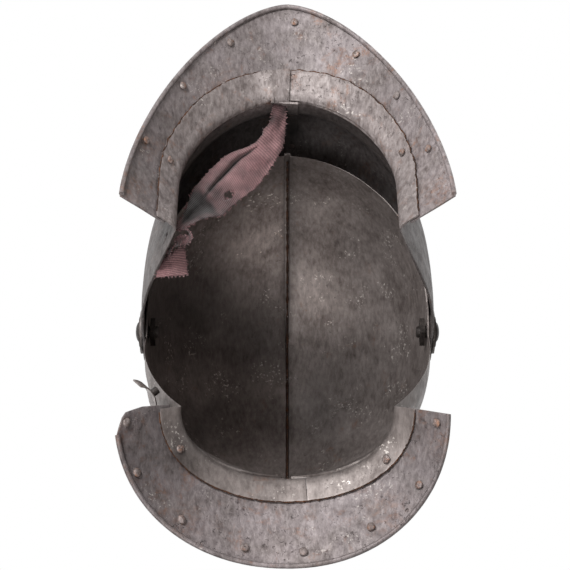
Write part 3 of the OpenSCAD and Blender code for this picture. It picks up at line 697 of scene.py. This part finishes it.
def makeCatch():
    root, out = spot(onSkull, catch)
    root = root + catch["lift"] * out
    reach = cheekPoint + 2.2 * cheekOut - root
    long = np.linalg.norm(reach)
    x = unit(reach)
    y = unit(np.cross(cheekOut + out, x))
    z = np.cross(x, y)
    c, s = cosDeg(catch["sprung"]), sinDeg(catch["sprung"])

    def place(u, v, h):  # along the leaf, across it and away from the skull
        return root + (u * c - h * s) * x + v * y + (u * s + h * c) * z

    def under(u):  # the leaf bows, then curls out past its stud
        return 0.3 + u * max(0, long - u) / catch["bow"] + max(0, u - long - 5) ** 2 / catch["curlBow"]
    along = np.concatenate([np.linspace(0.9, long, 24), long + np.linspace(1, catch["curl"], 12)])
    across = np.linspace(-1, 1, 7) * catch["width"] / 2
    grid = [[place(u, v, under(u) + catch["thick"]) for v in across] for u in along]
    leaf = buildPlate("catchLeaf", [(grid, False)], (0.1, 0.05), 7, True)
    leaf.modifiers["thickness"].thickness = catch["thick"]
    r = catch["stud"]
    foot, up = place(long, 0, 0), unit(place(long, 0, 1) - place(long, 0, 0))
    profile = [(0.05, 0.7), (r, 0.7), (r, -3.7), (r - 0.2, -4.0), (r - 0.6, -4.2), (0.05, -4.3)]
    return settle(leaf), settle(newPiece("catchStud"), 0, [turnedMesh(profile, foot * flipX, up * flipX)])


catchLeaf, catchStud = makeCatch()
print("catch made")


def addNode(tree, kind, inputs=None, links=None, **settings):
    # a link from a node is from its first output
    node = tree.nodes.new("ShaderNode" + kind)
    for key, value in settings.items():
        setattr(node, key, value)
    for key, value in (inputs or {}).items():
        node.inputs[key].default_value = value
    for key, source in (links or {}).items():
        tree.links.new(getattr(source, "outputs", [source])[0], node.inputs[key])
    return node


def emptyTree(owner):
    owner.use_nodes = True
    owner.node_tree.nodes.clear()
    return owner.node_tree


def newMaterial(name):
    material = bpy.data.materials.new(name)
    return material, emptyTree(material)


def inMillimetres(tree, start=(0, 0, 0)):
    coords = addNode(tree, "TexCoord").outputs["Object"]
    return addNode(tree, "Mapping", {"Scale": (1000, 1000, 1000), "Location": start}, {"Vector": coords})


def ramp(tree, source, low, high, start=0, end=1):  # grey from start to end as source goes from low to high
    node = addNode(tree, "ValToRGB", links={"Fac": source})
    for element, place, grey in zip(node.color_ramp.elements, (low, high), (start, end)):
        element.position, element.color = place, [grey] * 3 + [1]
    return node.outputs["Color"]


def mixColour(tree, factor, a, b, blend="MIX"):
    node = addNode(tree, "Mix", data_type="RGBA", blend_type=blend)
    for socket, value in zip([node.inputs[k] for k in (0, 6, 7)], (factor, a, b)):
        if isinstance(value, bpy.types.NodeSocket):
            tree.links.new(value, socket)
        else:
            socket.default_value = hexColour(value) if isinstance(value, str) else value
    return node.outputs[2]


def times(tree, a, b):
    return mixColour(tree, 1.0, a, (b, b, b, 1) if isinstance(b, float) else b, "MULTIPLY")


def vertexValue(tree, name):
    return addNode(tree, "Attribute", attribute_name=name).outputs["Fac"]


# Hammered iron plate under old oil, smoke and rust: dull mottled grey brown, pale where it is rubbed, pitted all over.
def hammeredIron(name, look):
    material, tree = newMaterial(name)
    inMm = inMillimetres(tree, look["place"])
    streaked = addNode(tree, "Mapping", {"Scale": (1, 0.4, 0.6)}, {"Vector": inMm})

    def cloud(size, detail, rough, warp=0.0, along=inMm):  # noise whose features are about size mm across
        settings = {"Scale": 1 / size, "Detail": detail, "Roughness": rough, "Distortion": warp}
        return addNode(tree, "TexNoise", settings, {"Vector": along}).outputs[0]

    def bump(strength, depth, height, under=None, **settings):
        links = {"Height": height, "Normal": under} if under else {"Height": height}
        return addNode(tree, "Bump", {"Strength": strength, "Distance": depth}, links, **settings)

    patches = ramp(tree, cloud(look["patch"], 5, 0.6, 0.4), 0.36, 0.66)
    grain = ramp(tree, cloud(2.6, 5, 0.65, 0.2, streaked), 0.3, 0.7)
    colour = mixColour(tree, patches, look["dark"], look["light"])
    colour = mixColour(tree, look["grain"], colour, mixColour(tree, grain, look["dark"], look["rubbed"]))
    rust = ramp(tree, cloud(17, 8, 0.68, 0.9), look["rustFrom"], look["rustFrom"] + 0.12)
    rustSpots = ramp(tree, cloud(3.2, 6, 0.7), 0.42, 0.6, 0.15)
    flaked = times(tree, vertexValue(tree, "rusted"), rustSpots)
    rust = mixColour(tree, 1.0, times(tree, rust, rustSpots), flaked, "LIGHTEN")
    rustTone = mixColour(tree, rustSpots, look["rust"], look["rustPale"])
    colour = mixColour(tree, times(tree, rust, look["rustHold"]), colour, rustTone)
    pits = times(tree, ramp(tree, cloud(2.1, 4, 0.62, 0.8), 0.3, 0.4, 1, 0), ramp(tree, cloud(14, 3, 0.6), 0.45, 0.62))
    colour = mixColour(tree, pits, colour, mixColour(tree, 0.55, colour, look["pit"]))
    bloomWhere = ramp(tree, cloud(24, 4, 0.6, 0.3), look["bloomFrom"], look["bloomFrom"] + 0.1)
    bloom = times(tree, bloomWhere, ramp(tree, cloud(2.0, 4, 0.6), 0.58, 0.64))
    colour = mixColour(tree, times(tree, bloom, look["bloomHold"]), colour, look["bloom"])
    # the colour is multiplied by the plate's attribute: partly patina, partly painted light and shade
    agedAndShaded = addNode(tree, "Math", {1: 1.0}, {0: vertexValue(tree, "patinaAndPaintedLight")}, operation="ADD").outputs[0]
    roughness = ramp(tree, cloud(9, 5, 0.6), 0.3, 0.7, *look["rough"])
    # hammer marks about 13 mm across, then pits and the fine skin of the patina
    hammer = bump(look["hammer"], 0.0012, cloud(13, 2, 0.5))
    pitted = bump(look["pitDepth"], 0.0005, pits, hammer, invert=True)
    skin = bump(look["skin"], 0.0004, cloud(1.3, 4, 0.7, 0, streaked), pitted)
    shader = addNode(tree, "BsdfPrincipled", {"Metallic": look["metallic"]},
                     {"Base Color": times(tree, colour, agedAndShaded), "Roughness": roughness, "Normal": skin})
    addNode(tree, "OutputMaterial", links={"Surface": shader})
    return material


browned = {"place": (0, 0, 0), "patch": 30, "dark": "#544b48", "light": "#928986", "rubbed": "#aea5a1", "grain": 0.4,
           "rust": "#56341f", "rustPale": "#8a5733", "rustFrom": 0.6, "rustHold": 0.5, "pit": "#1b1614",
           "bloom": "#ebe4dd", "bloomFrom": 0.55, "bloomHold": 0.85, "rough": (0.4, 0.6), "metallic": 0.4,
           "hammer": 0.35, "pitDepth": 0.5, "skin": 0.3}
pitted = dict(browned, place=(40, 7, 3), patch=22, dark="#5f5553", light="#a0969a", rubbed="#c9bfbe", grain=0.55,
              rust="#6a4330", rustPale="#a06c49", rustFrom=0.54, rustHold=0.6, bloom="#e2dad4", bloomHold=0.8,
              rough=(0.42, 0.66), metallic=0.35, pitDepth=0.9, skin=0.6, pit="#2a211e")
skullIron = hammeredIron("brownedIronPlate", browned)
visorIron = hammeredIron("brownedIronVisor", dict(browned, place=(11, 90, 5), dark="#2e2827", light="#544d4a"))
bevorIron = hammeredIron("pittedIronBevor", dict(pitted, place=(3, 14, 60), light="#8d8380", rustHold=0.5))
gorgetIron = hammeredIron("pittedIronGorget", pitted)
rivetIron = hammeredIron("rustyIronRivet", dict(
    pitted, place=(9, 2, 8), patch=5, dark="#4c413c", light="#776a65", rustFrom=0.46, rustHold=0.75, hammer=0.15))
forgedIron = hammeredIron("blackenedForgedIron", dict(
    browned, place=(70, 2, 8), patch=9, dark="#1f1b1a", light="#3b3532", rubbed="#5b5350", rustHold=0.35,
    bloomHold=0.2))
springIron = hammeredIron("blackenedSpringSteel", dict(browned, place=(20, 2, 8), patch=8, rough=(0.32, 0.5)))
# the gaps' filler: matt and nearly black as painted shade, with warm brown rust grains
gapShadeAndRust = hammeredIron("gapShadeAndRust", dict(
    browned, patch=7, dark="#140e0c", light="#33211a", rubbed="#5e402d", metallic=0.0, rustFrom=0.4, rust="#3f2616",
    rustPale="#7a4c2c", rough=(0.8, 0.95), skin=0.9))
print("iron finishes made")

# Where a plate's colour is paler or blacker than its finish: partly real patina, partly painted light and shade (the
# skull's shaded and lit sides, the gorget plates' darker and lighter sides). x and front in millimetres, radius, and by
# how many doublings.
# "all" is the whole plate, "wall" the bevor's sides without their flange, darkened as painted shade; rust has a share
# in the place of doublings.
patinaAndPaintedLight = {
    "skull": {"all": 0.0, "flange": 0.4,
              "spots": [(-22, 60, 30, 1.35), (-12, 92, 18, 0.7), (-72, 14, 34, -1.5), (-22, -12, 26, -0.9),
                        (-48, -62, 30, -0.5), (-16, -84, 20, -0.4), (29, 88, 26, 1.0), (25, 20, 30, 1.5),
                        (18, 52, 20, 0.6), (62, -34, 26, -0.5), (28, -66, 26, -0.7), (-64, -72, 16, -0.8)]},
    "bevor": {"all": -0.15, "wall": -1.25, "spots": [(58, 121, 22, 0.45), (-35, 133, 16, 0.3), (4, 144.5, 5, -2.2)]},
    "frontGorget": {"all": -0.35, "spots": [(-82, 108, 34, -0.35), (84, 108, 34, 0.35), (0, 180, 30, -0.2)],
                    "rust": [(-40, 157, 14, 0.9), (-20, 163, 9, 0.7), (-99, 92, 9, 0.7), (-88, 122, 8, 0.5),
                             (95, 90, 9, 0.6), (44, 150, 12, 0.5), (70, 118, 10, 0.5)]},
    "rearGorget": {"all": -0.62, "spots": [(6, -126, 42, 0.5), (-84, -72, 26, -0.5), (44, -112, 24, -0.2)],
                   "rust": [(-102, -58, 8, 0.8), (-98, -84, 8, 0.5), (-62, -110, 10, 0.5), (60, -106, 12, 0.6),
                            (95, -62, 9, 0.6)]}}


def paintPatinaAndLight(piece, plan):
    n = len(piece.data.vertices)
    co = np.empty(3 * n)
    piece.data.vertices.foreach_get("co", co)
    p = co.reshape(n, 3) / mm
    byHalf = piece.name.startswith("skull")  # a patch beside the comb stays on its own half

    def patches(spots):
        total = np.zeros(n)
        for x, front, radius, amount in spots:
            half = p[:, 0] * x >= 0 if byHalf and abs(x) > 9 else 1
            total += amount * half * np.exp(-((p[:, 0] - x) ** 2 + (p[:, 1] + front) ** 2) / radius ** 2)
        return total

    stops = plan["all"] + patches(plan["spots"])
    # the bevor's sides are darkened as painted shade in the hollow
    if "wall" in plan:
        stops += plan["wall"] * np.clip((swing(p, -bevor["open"])[:, 2] + 124) / 7, 0, 1)
    if "flange" in plan:
        stops += plan["flange"] * np.clip((-119 - p[:, 2]) / 5, 0, 1)
    for name, values in (("patinaAndPaintedLight", 2 ** stops - 1), ("rusted", np.clip(patches(plan.get("rust", ())), 0, 1))):
        piece.data.attributes.new(name, "FLOAT", "POINT").data.foreach_set("value", values)


for piece, plan in zip(skullPieces + [bevorLeft, bevorRight, frontGorget, rearGorget],
                       ("skull", "skull", "bevor", "bevor", "frontGorget", "rearGorget")):
    paintPatinaAndLight(piece, patinaAndPaintedLight[plan])


def dress(piece, material):
    piece.data.materials.clear()
    piece.data.materials.append(material)


# The small solids that are shown as they are.
for name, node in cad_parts.items():
    plain = forgedIron if name.startswith(("pivot", "visor_peg")) else rivetIron
    dress(node, springIron if name == "catch_plate" else plain)
    node.data.shade_smooth()
    node.data.set_sharp_from_angle(angle=d2r(32))


# What is left of the lining: ribbed twill torn to a strip that hangs across the face opening, and a flap by its rivet.
cloth = {"thick": 0.8, "rib": 1.6, "fray": 0.9, "thread": 1.7, "threadShare": 0.45, "steps": 9}
# the strip's two edges from the chin to the cheek: across, forward, across, forward, height
stripEdges = [[-10.6, 156.2, -1.0, 156.2, -9.5], [-11.0, 150.5, -1.0, 150.5, -5], [-12.0, 144.7, -1.4, 142.7, -1],
              [-16.2, 138.7, -2.0, 133.9, 1], [-21.0, 131.0, -4.5, 125.5, 0], [-30.5, 125.8, -8.6, 117.6, -5],
              [-39.3, 121.8, -14.7, 107.5, -12], [-46.4, 115.7, -22.7, 97.4, -21], [-52.8, 108.3, -31.3, 90.2, -31],
              [-58.3, 100.9, -39.0, 83.0, -42], [-62.4, 94.4, -43.9, 77.9, -52], [-65.1, 86.0, -52.7, 76.2, -63],
              [-67.1, 79.0, -59.3, 73.2, -73], [-69.7, 73.4, -63.9, 70.2, -84], [-71.7, 68.0, -67.2, 66.8, -93]]
twistPath = [[-67.2, -68.7, -93], [-63.3, -66.7, -95], [-62.0, -63.5, -96], [-64.6, -60.7, -95.5], [-68.5, -61.5, -94],
             [-69.8, -58.5, -93], [-73.6, -56.0, -92], [-76.5, -52.5, -91]]
flapCorners = [[-81.4, -47.1, -90], [-66.4, -57.4, -86], [-84.0, -37.2, -93], [-64.3, -38.8, -88]]


def smoothRows(rows, steps):
    rows = [np.array(r, float) for r in rows]
    out = []
    for i in range(len(rows) - 1):
        a, b, c, d = rows[max(i - 1, 0)], rows[i], rows[i + 1], rows[min(i + 2, len(rows) - 1)]
        for k in range(steps):
            t = k / steps
            bend, twist = 2 * a - 5 * b + 4 * c - d, 3 * b - a - 3 * c + d
            out.append(0.5 * (2 * b + (c - a) * t + bend * t * t + twist * t ** 3))
    return out + [rows[-1]]


def hump(x, middle, width):
    return exp(-((x - middle) / width) ** 2)


def clothPiece(name, grid, flat, shadeAndSoil, sewnRows=(0,), gone=lambda i, j: False):
    # grid of points; flat gives each its place on the cut cloth, the third function the painted shade in the folds and
    # hollow with some dirt, gone the torn holes
    n, m = len(grid), len(grid[0])
    bm = bmesh.new()
    uv = bm.loops.layers.uv.new("flat")
    shadeAndDirt = bm.verts.layers.float.new("shadeAndSoil")
    verts = [[bm.verts.new(tuple(q)) for q in row] for row in grid]
    for i, j in np.ndindex(n, m):
        verts[i][j][shadeAndDirt] = shadeAndSoil(i, j)
    for i, j in np.ndindex(n - 1, m - 1):
        if gone(i + 0.5, j + 0.5):
            continue
        corners = [(i, j), (i + 1, j), (i + 1, j + 1), (i, j + 1)]
        for loop, corner in zip(bm.faces.new([verts[a][b] for a, b in corners]).loops, corners):
            loop[uv].uv = flat(*corner)
    sewn = {v for i in sewnRows for v in verts[i]}
    edges = [e for e in bm.edges if len(e.link_faces) == 1 and not (e.verts[0] in sewn and e.verts[1] in sewn)]
    rng = np.random.default_rng(7)
    for e in edges:  # loose threads along the torn edges
        if rng.random() > cloth["threadShare"]:
            continue
        face = e.link_faces[0]
        mid = (e.verts[0].co + e.verts[1].co) / 2
        away = (mid - face.calc_center_median()).normalized()
        side = (e.verts[1].co - e.verts[0].co).normalized()
        length = cloth["thread"] * (0.3 + 0.7 * rng.random())
        lean = away + side * rng.uniform(-0.9, 0.9) + Vector((0, 0, rng.uniform(-0.4, 0.3)))
        strand = [bm.verts.new(mid + side * s) for s in (-0.14, 0.14)]
        strand += [bm.verts.new(mid + lean * length + side * s) for s in (0.07, -0.07)]
        for loop in bm.faces.new(strand).loops:
            loop[uv].uv = (0, -50)
    bmesh.ops.delete(bm, geom=[v for v in bm.verts if not v.link_faces], context="VERTS")
    bm.normal_update()
    for v in bm.verts:
        v.co *= mm
    piece = newPiece(name)
    bm.to_mesh(piece.data)
    bm.free()
    piece.data.shade_smooth()
    thick = piece.modifiers.new("thickness", "SOLIDIFY")
    thick.thickness, thick.offset = cloth["thick"] * mm, 0
    piece.data = applied(piece)
    return piece


def makeStrip():
    steps = cloth["steps"]
    rows = smoothRows(stripEdges, steps)
    n, m = len(rows), 46
    along, wide = [0.0], [hypot(r[2] - r[0], r[3] - r[1]) for r in rows]
    for a, b in zip(rows, rows[1:]):
        step = [(b[0] + b[2] - a[0] - a[2]) / 2, (b[1] + b[3] - a[1] - a[3]) / 2, b[4] - a[4]]
        along.append(along[-1] + hypot(*step))
    grid, shadeAndDirt = [], []
    for i, r in enumerate(rows):
        k = i / steps
        lens = sin(pi * clamp((k - 4.2) / 5.6)) ** 0.8  # the long fold
        pocket = sin(pi * clamp((k - 9.3) / 4.4))  # the dark hollow above the loop
        left, right = np.array([r[0], -r[1], r[4]]), np.array([r[2], -r[3], r[4]])
        across = (right - left) / max(wide[i], 1)
        row, shadesAndSoils = [], []
        for j in range(m + 1):
            v = j / m
            rough = wobble(along[i] * 0.25, 2 * v, 1) + 0.6 * wobble(along[i] * 0.9, v, 4)
            side = 1 if v > 0.5 else -1
            q = mix(left, right, v) + across * cloth["fray"] * rough * abs(2 * v - 1) ** 6 * side
            crease = hump(v, mix(0.2, 0.36, (k - 4) / 6), 0.055)
            rise = lens * (6.5 * crease - 3.2 * hump(v, 0.11, 0.12)) - 2.6 * sin(pi * v) * min(1, k / 3)
            rise += pocket * (10 * hump(v, 0.42, 0.3) - 1.5 * hump(v, 1, 0.12))
            rise += 0.9 * sin(9 * v + 0.9 * k) * min(1, k / 2) * (1 - lens * crease)
            for amount, size, seed in ((1.3, 0.09, 2), (0.7, 0.3, 6)):
                rise += amount * wobble(q[0] * size, q[1] * size, seed)
            row.append(q + np.array([0, 0, rise]))
            # painted shade in the long fold and the hollow above the loop; darker towards the chin end and in random
            # dirt patches
            shadeAndGrime = 0.8 * max(0, 1 - k / 5) + 0.75 * hump(k, 10.8, 2.6)
            shadeAndGrime += 0.35 * wobble(along[i] * 0.12, 3 * v, 9)
            shadesAndSoils.append(clamp(0.95 * lens * crease + 0.9 * pocket * hump(v, 0.4, 0.33) + shadeAndGrime))
        grid.append(row)
        shadeAndDirt.append(shadesAndSoils)

    def gone(i, j):
        k, v = i / steps, j / m
        rough = 1 + 0.6 * wobble(i * 0.7, j * 0.7, 0)
        return ((k - 8.35) / 0.42) ** 2 + ((v - 0.74) / 0.1) ** 2 < rough
    strip = clothPiece("liningStrip", grid, lambda i, j: (along[i], wide[i] * j / m), lambda i, j: shadeAndDirt[i][j],
                       gone=gone)
    return strip, along[-1], max(wide), float(np.trapz(wide, along))


def makeTwist():  # the strip's tail, rolled to a loop before it reaches the flap
    rows = smoothRows(twistPath, 8)
    n, m = len(rows), 10
    grid = []
    for i, q in enumerate(rows):
        a, b = pathFrame(rows, i)
        turn = 0.9 + 0.085 * i
        side = cos(turn) * a + sin(turn) * b
        grid.append([q + side * 2.7 * (2 * j / m - 1) + b * 0.9 * sin(3 * j / m) for j in range(m + 1)])
    return clothPiece("liningTwist", grid, lambda i, j: (i * 0.9, j * 0.5),
                      lambda i, j: 0.35 + 0.4 * sin(0.21 * i + 0.3 * j) ** 2)


def makeFlap():
    n, m = 30, 30
    c = [np.array(q, float) for q in flapCorners]
    grid = []
    for i in range(n + 1):
        row = []
        for j in range(m + 1):
            u, v = i / n, j / m
            q = mix(mix(c[0], c[1], v), mix(c[2], c[3], v), u)
            rough = 0.5 * wobble(i * 0.35, j * 0.35, 8)
            bow = 1.8 * sin(pi * u) * (v - 0.5) + 0.9 * sin(6 * v + 2 * u)
            sag = sin(pi * v)
            row.append(q + np.array([rough + bow * 0.3, 0.6 * rough - 0.8 * sag * (1 - u), bow - 1.2 * sag]))
        grid.append(row)
    return clothPiece("liningFlap", grid, lambda i, j: (i * 18.5 / n + 200, j * 19.5 / m),
                      lambda i, j: 0.55 * hump(i / n, 0, 0.18), ())


stripPiece, stripLength, stripWidth, stripArea = makeStrip()
twistPiece, flapPiece = makeTwist(), makeFlap()


# Woollen twill gone dusty rose: soft and matt, its ribs 1.6 mm apart, faded in patches, with pale threads.
def ribbedTwill(name, look):
    material, tree = newMaterial(name)
    inMm = inMillimetres(tree)
    turned = addNode(tree, "Mapping", {"Rotation": (0, 0, d2r(24))}, {"Vector": addNode(tree, "UVMap", uv_map="flat")})
    wave = {"Scale": 0.31416 / cloth["rib"], "Distortion": 0.5, "Detail": 2.0, "Detail Scale": 0.6}
    ribs = addNode(tree, "TexWave", wave, {"Vector": turned}, wave_type="BANDS", bands_direction="X",
                   wave_profile="SIN").outputs["Fac"]

    def cloud(size, detail, rough, along=inMm):
        settings = {"Scale": 1 / size, "Detail": detail, "Roughness": rough}
        return addNode(tree, "TexNoise", settings, {"Vector": along}).outputs[0]

    threads = cloud(0.5, 2, 0.5, turned)
    colour = mixColour(tree, ramp(tree, cloud(16, 5, 0.6), 0.35, 0.65), look["dusty"], look["faded"])
    colour = mixColour(tree, ramp(tree, ribs, 0.15, 0.6, 0.55, 0), colour, look["valley"])
    colour = mixColour(tree, ramp(tree, threads, 0.55, 0.75, 0, 0.5), colour, look["pale"])
    colour = mixColour(tree, ramp(tree, cloud(7, 6, 0.7), 0.55, 0.75, 0, 0.7), colour, look["soil"])
    # the fold colour laid on by the shade attribute: painted shade in folds and hollow, with some dirt
    colour = mixColour(tree, vertexValue(tree, "shadeAndSoil"), colour, look["fold"])
    bump = addNode(tree, "Bump", {"Strength": 0.7, "Distance": 0.0006}, {"Height": mixColour(tree, 0.3, ribs, threads)})
    shader = addNode(tree, "BsdfPrincipled", {"Roughness": 0.92, "Sheen Weight": 0.25, "Sheen Roughness": 0.5},
                     {"Base Color": colour, "Normal": bump})
    addNode(tree, "OutputMaterial", links={"Surface": shader})
    return material


twill = ribbedTwill("fadedRibbedTwill", {"dusty": "#785356", "faded": "#9c7678", "valley": "#4b3034",
                                         "pale": "#c4aba6", "soil": "#4a3335", "fold": "#1a0f10"})
print("lining made")

# What each piece is finished with and stands for, by the body it turns with and its slot.
finished = {
    ("skull", "skull_steel"): [(skullPieces[0], skullIron, "skull_left"), (skullPieces[1], skullIron, "skull_right"),
                               (combSeam, gapShadeAndRust, "skull_left")],
    ("skull", "gorget_steel"): [(rearGorget, gorgetIron, "rear_gorget_plate"),
                                (rearSeam, gapShadeAndRust, "rear_gorget_plate")],
    ("bevor", "gorget_steel"): [(frontGorget, gorgetIron, "front_gorget_plate"),
                                (frontSeam, gapShadeAndRust, "front_gorget_plate")],
    ("bevor", "bevor_steel"): [(bevorLeft, bevorIron, "bevor_left"), (bevorRight, bevorIron, "bevor_right")],
    ("visor", "skull_steel"): [(visorPiece, visorIron, "visor")],
    ("bevor", "lining_cloth"): [(stripPiece, twill, "lining_remnant"), (twistPiece, twill, "lining_remnant"),
                                (flapPiece, twill, "lining_flap")],
    ("bevor", "rivet_iron"): [(rivets["frontGorgetRivets"], rivetIron, "front_gorget_rivets"),
                              (rivets["frontFlangeRivets"], rivetIron, "front_flange_rivets")],
    ("skull", "rivet_iron"): [(rivets["rearGorgetRivets"], rivetIron, "rear_gorget_rivets"),
                              (rivets["rearFlangeRivets"], rivetIron, "rear_flange_rivets")],
    ("catch", "pivot_iron"): [(catchLeaf, springIron, "catch_spring"), (catchStud, forgedIron, "catch_stud")]}
for (body, slot), pieces in finished.items():
    for piece, finish, node in pieces:
        dress(piece, finish)
        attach(piece, body)
        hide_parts(node)
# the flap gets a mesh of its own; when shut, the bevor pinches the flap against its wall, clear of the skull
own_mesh(flapPiece)

# Studio: a soft lamp on the camera's left, a weaker one on its right, two from above for the other sides, white
# surround. Each lamp has its power in watts, its size and its place in metres.
lamps = {"key": (17.0, 0.5, (-0.5, -0.87, -0.97)), "fill": (8.0, 0.6, (-0.36, 0.36, -1.3)),
         "top": (16.0, 1.0, (0.7, -1.5, 1.7)), "rim": (7.0, 0.9, (-1.6, 1.1, 0.9))}
studio = {"surround": 0.2, "floor": "#e9e6e1", "fibre": "#e5e2dd", "floorHalf": 4, "aim": (0, 0, -0.03)}
for name, (power, size, place) in lamps.items():
    lamp = bpy.data.lights.new(name, "AREA")
    lamp.energy, lamp.size = power, size
    lampObject = newPiece(name, lamp)
    lampObject.location = place
    lampObject.rotation_euler = (Vector(studio["aim"]) - lampObject.location).to_track_quat("-Z", "Y").to_euler()
world = bpy.data.worlds.new("studio")
scene.world = world
tree = emptyTree(world)
rays = addNode(tree, "LightPath").outputs
seen = addNode(tree, "Math", links={0: rays["Is Camera Ray"], 1: rays["Is Glossy Ray"]}, operation="MAXIMUM")
level = addNode(tree, "MapRange", {"To Min": studio["surround"], "To Max": 1.0}, {"Value": seen})
surround = addNode(tree, "Background", {"Color": (1, 1, 1, 1)}, {"Strength": level})
addNode(tree, "OutputWorld", links={"Surface": surround})

# The floor is 1 mm under the gorget plates; from below it lets the camera and the lamps look through.
half, floorHeight = studio["floorHalf"], cadBox[0].z - mm
corners = [(half * x, half * y, floorHeight) for x, y in ((-1, -1), (1, -1), (1, 1), (-1, 1))]
floor = newPiece("floor", newMesh("floor", corners, [(0, 1, 2, 3)]))
paper, tree = newMaterial("mattWhitePaper")  # seamless studio paper: flat, no gloss, keeps the helmet's shadow
fibre = addNode(tree, "TexNoise", {"Scale": 0.4, "Detail": 4.0}, {"Vector": inMillimetres(tree)}).outputs[0]
tone = mixColour(tree, ramp(tree, fibre, 0.4, 0.6), studio["floor"], studio["fibre"])
below = addNode(tree, "NewGeometry").outputs["Backfacing"]
shadowRay = addNode(tree, "LightPath").outputs["Is Shadow Ray"]
through = addNode(tree, "Math", links={0: below, 1: shadowRay}, operation="MAXIMUM")
matt = addNode(tree, "BsdfDiffuse", links={"Color": tone})
both = addNode(tree, "MixShader", links={0: through, 1: matt, 2: addNode(tree, "BsdfTransparent")})
addNode(tree, "OutputMaterial", links={"Surface": both})
dress(floor, paper)
print("studio set")
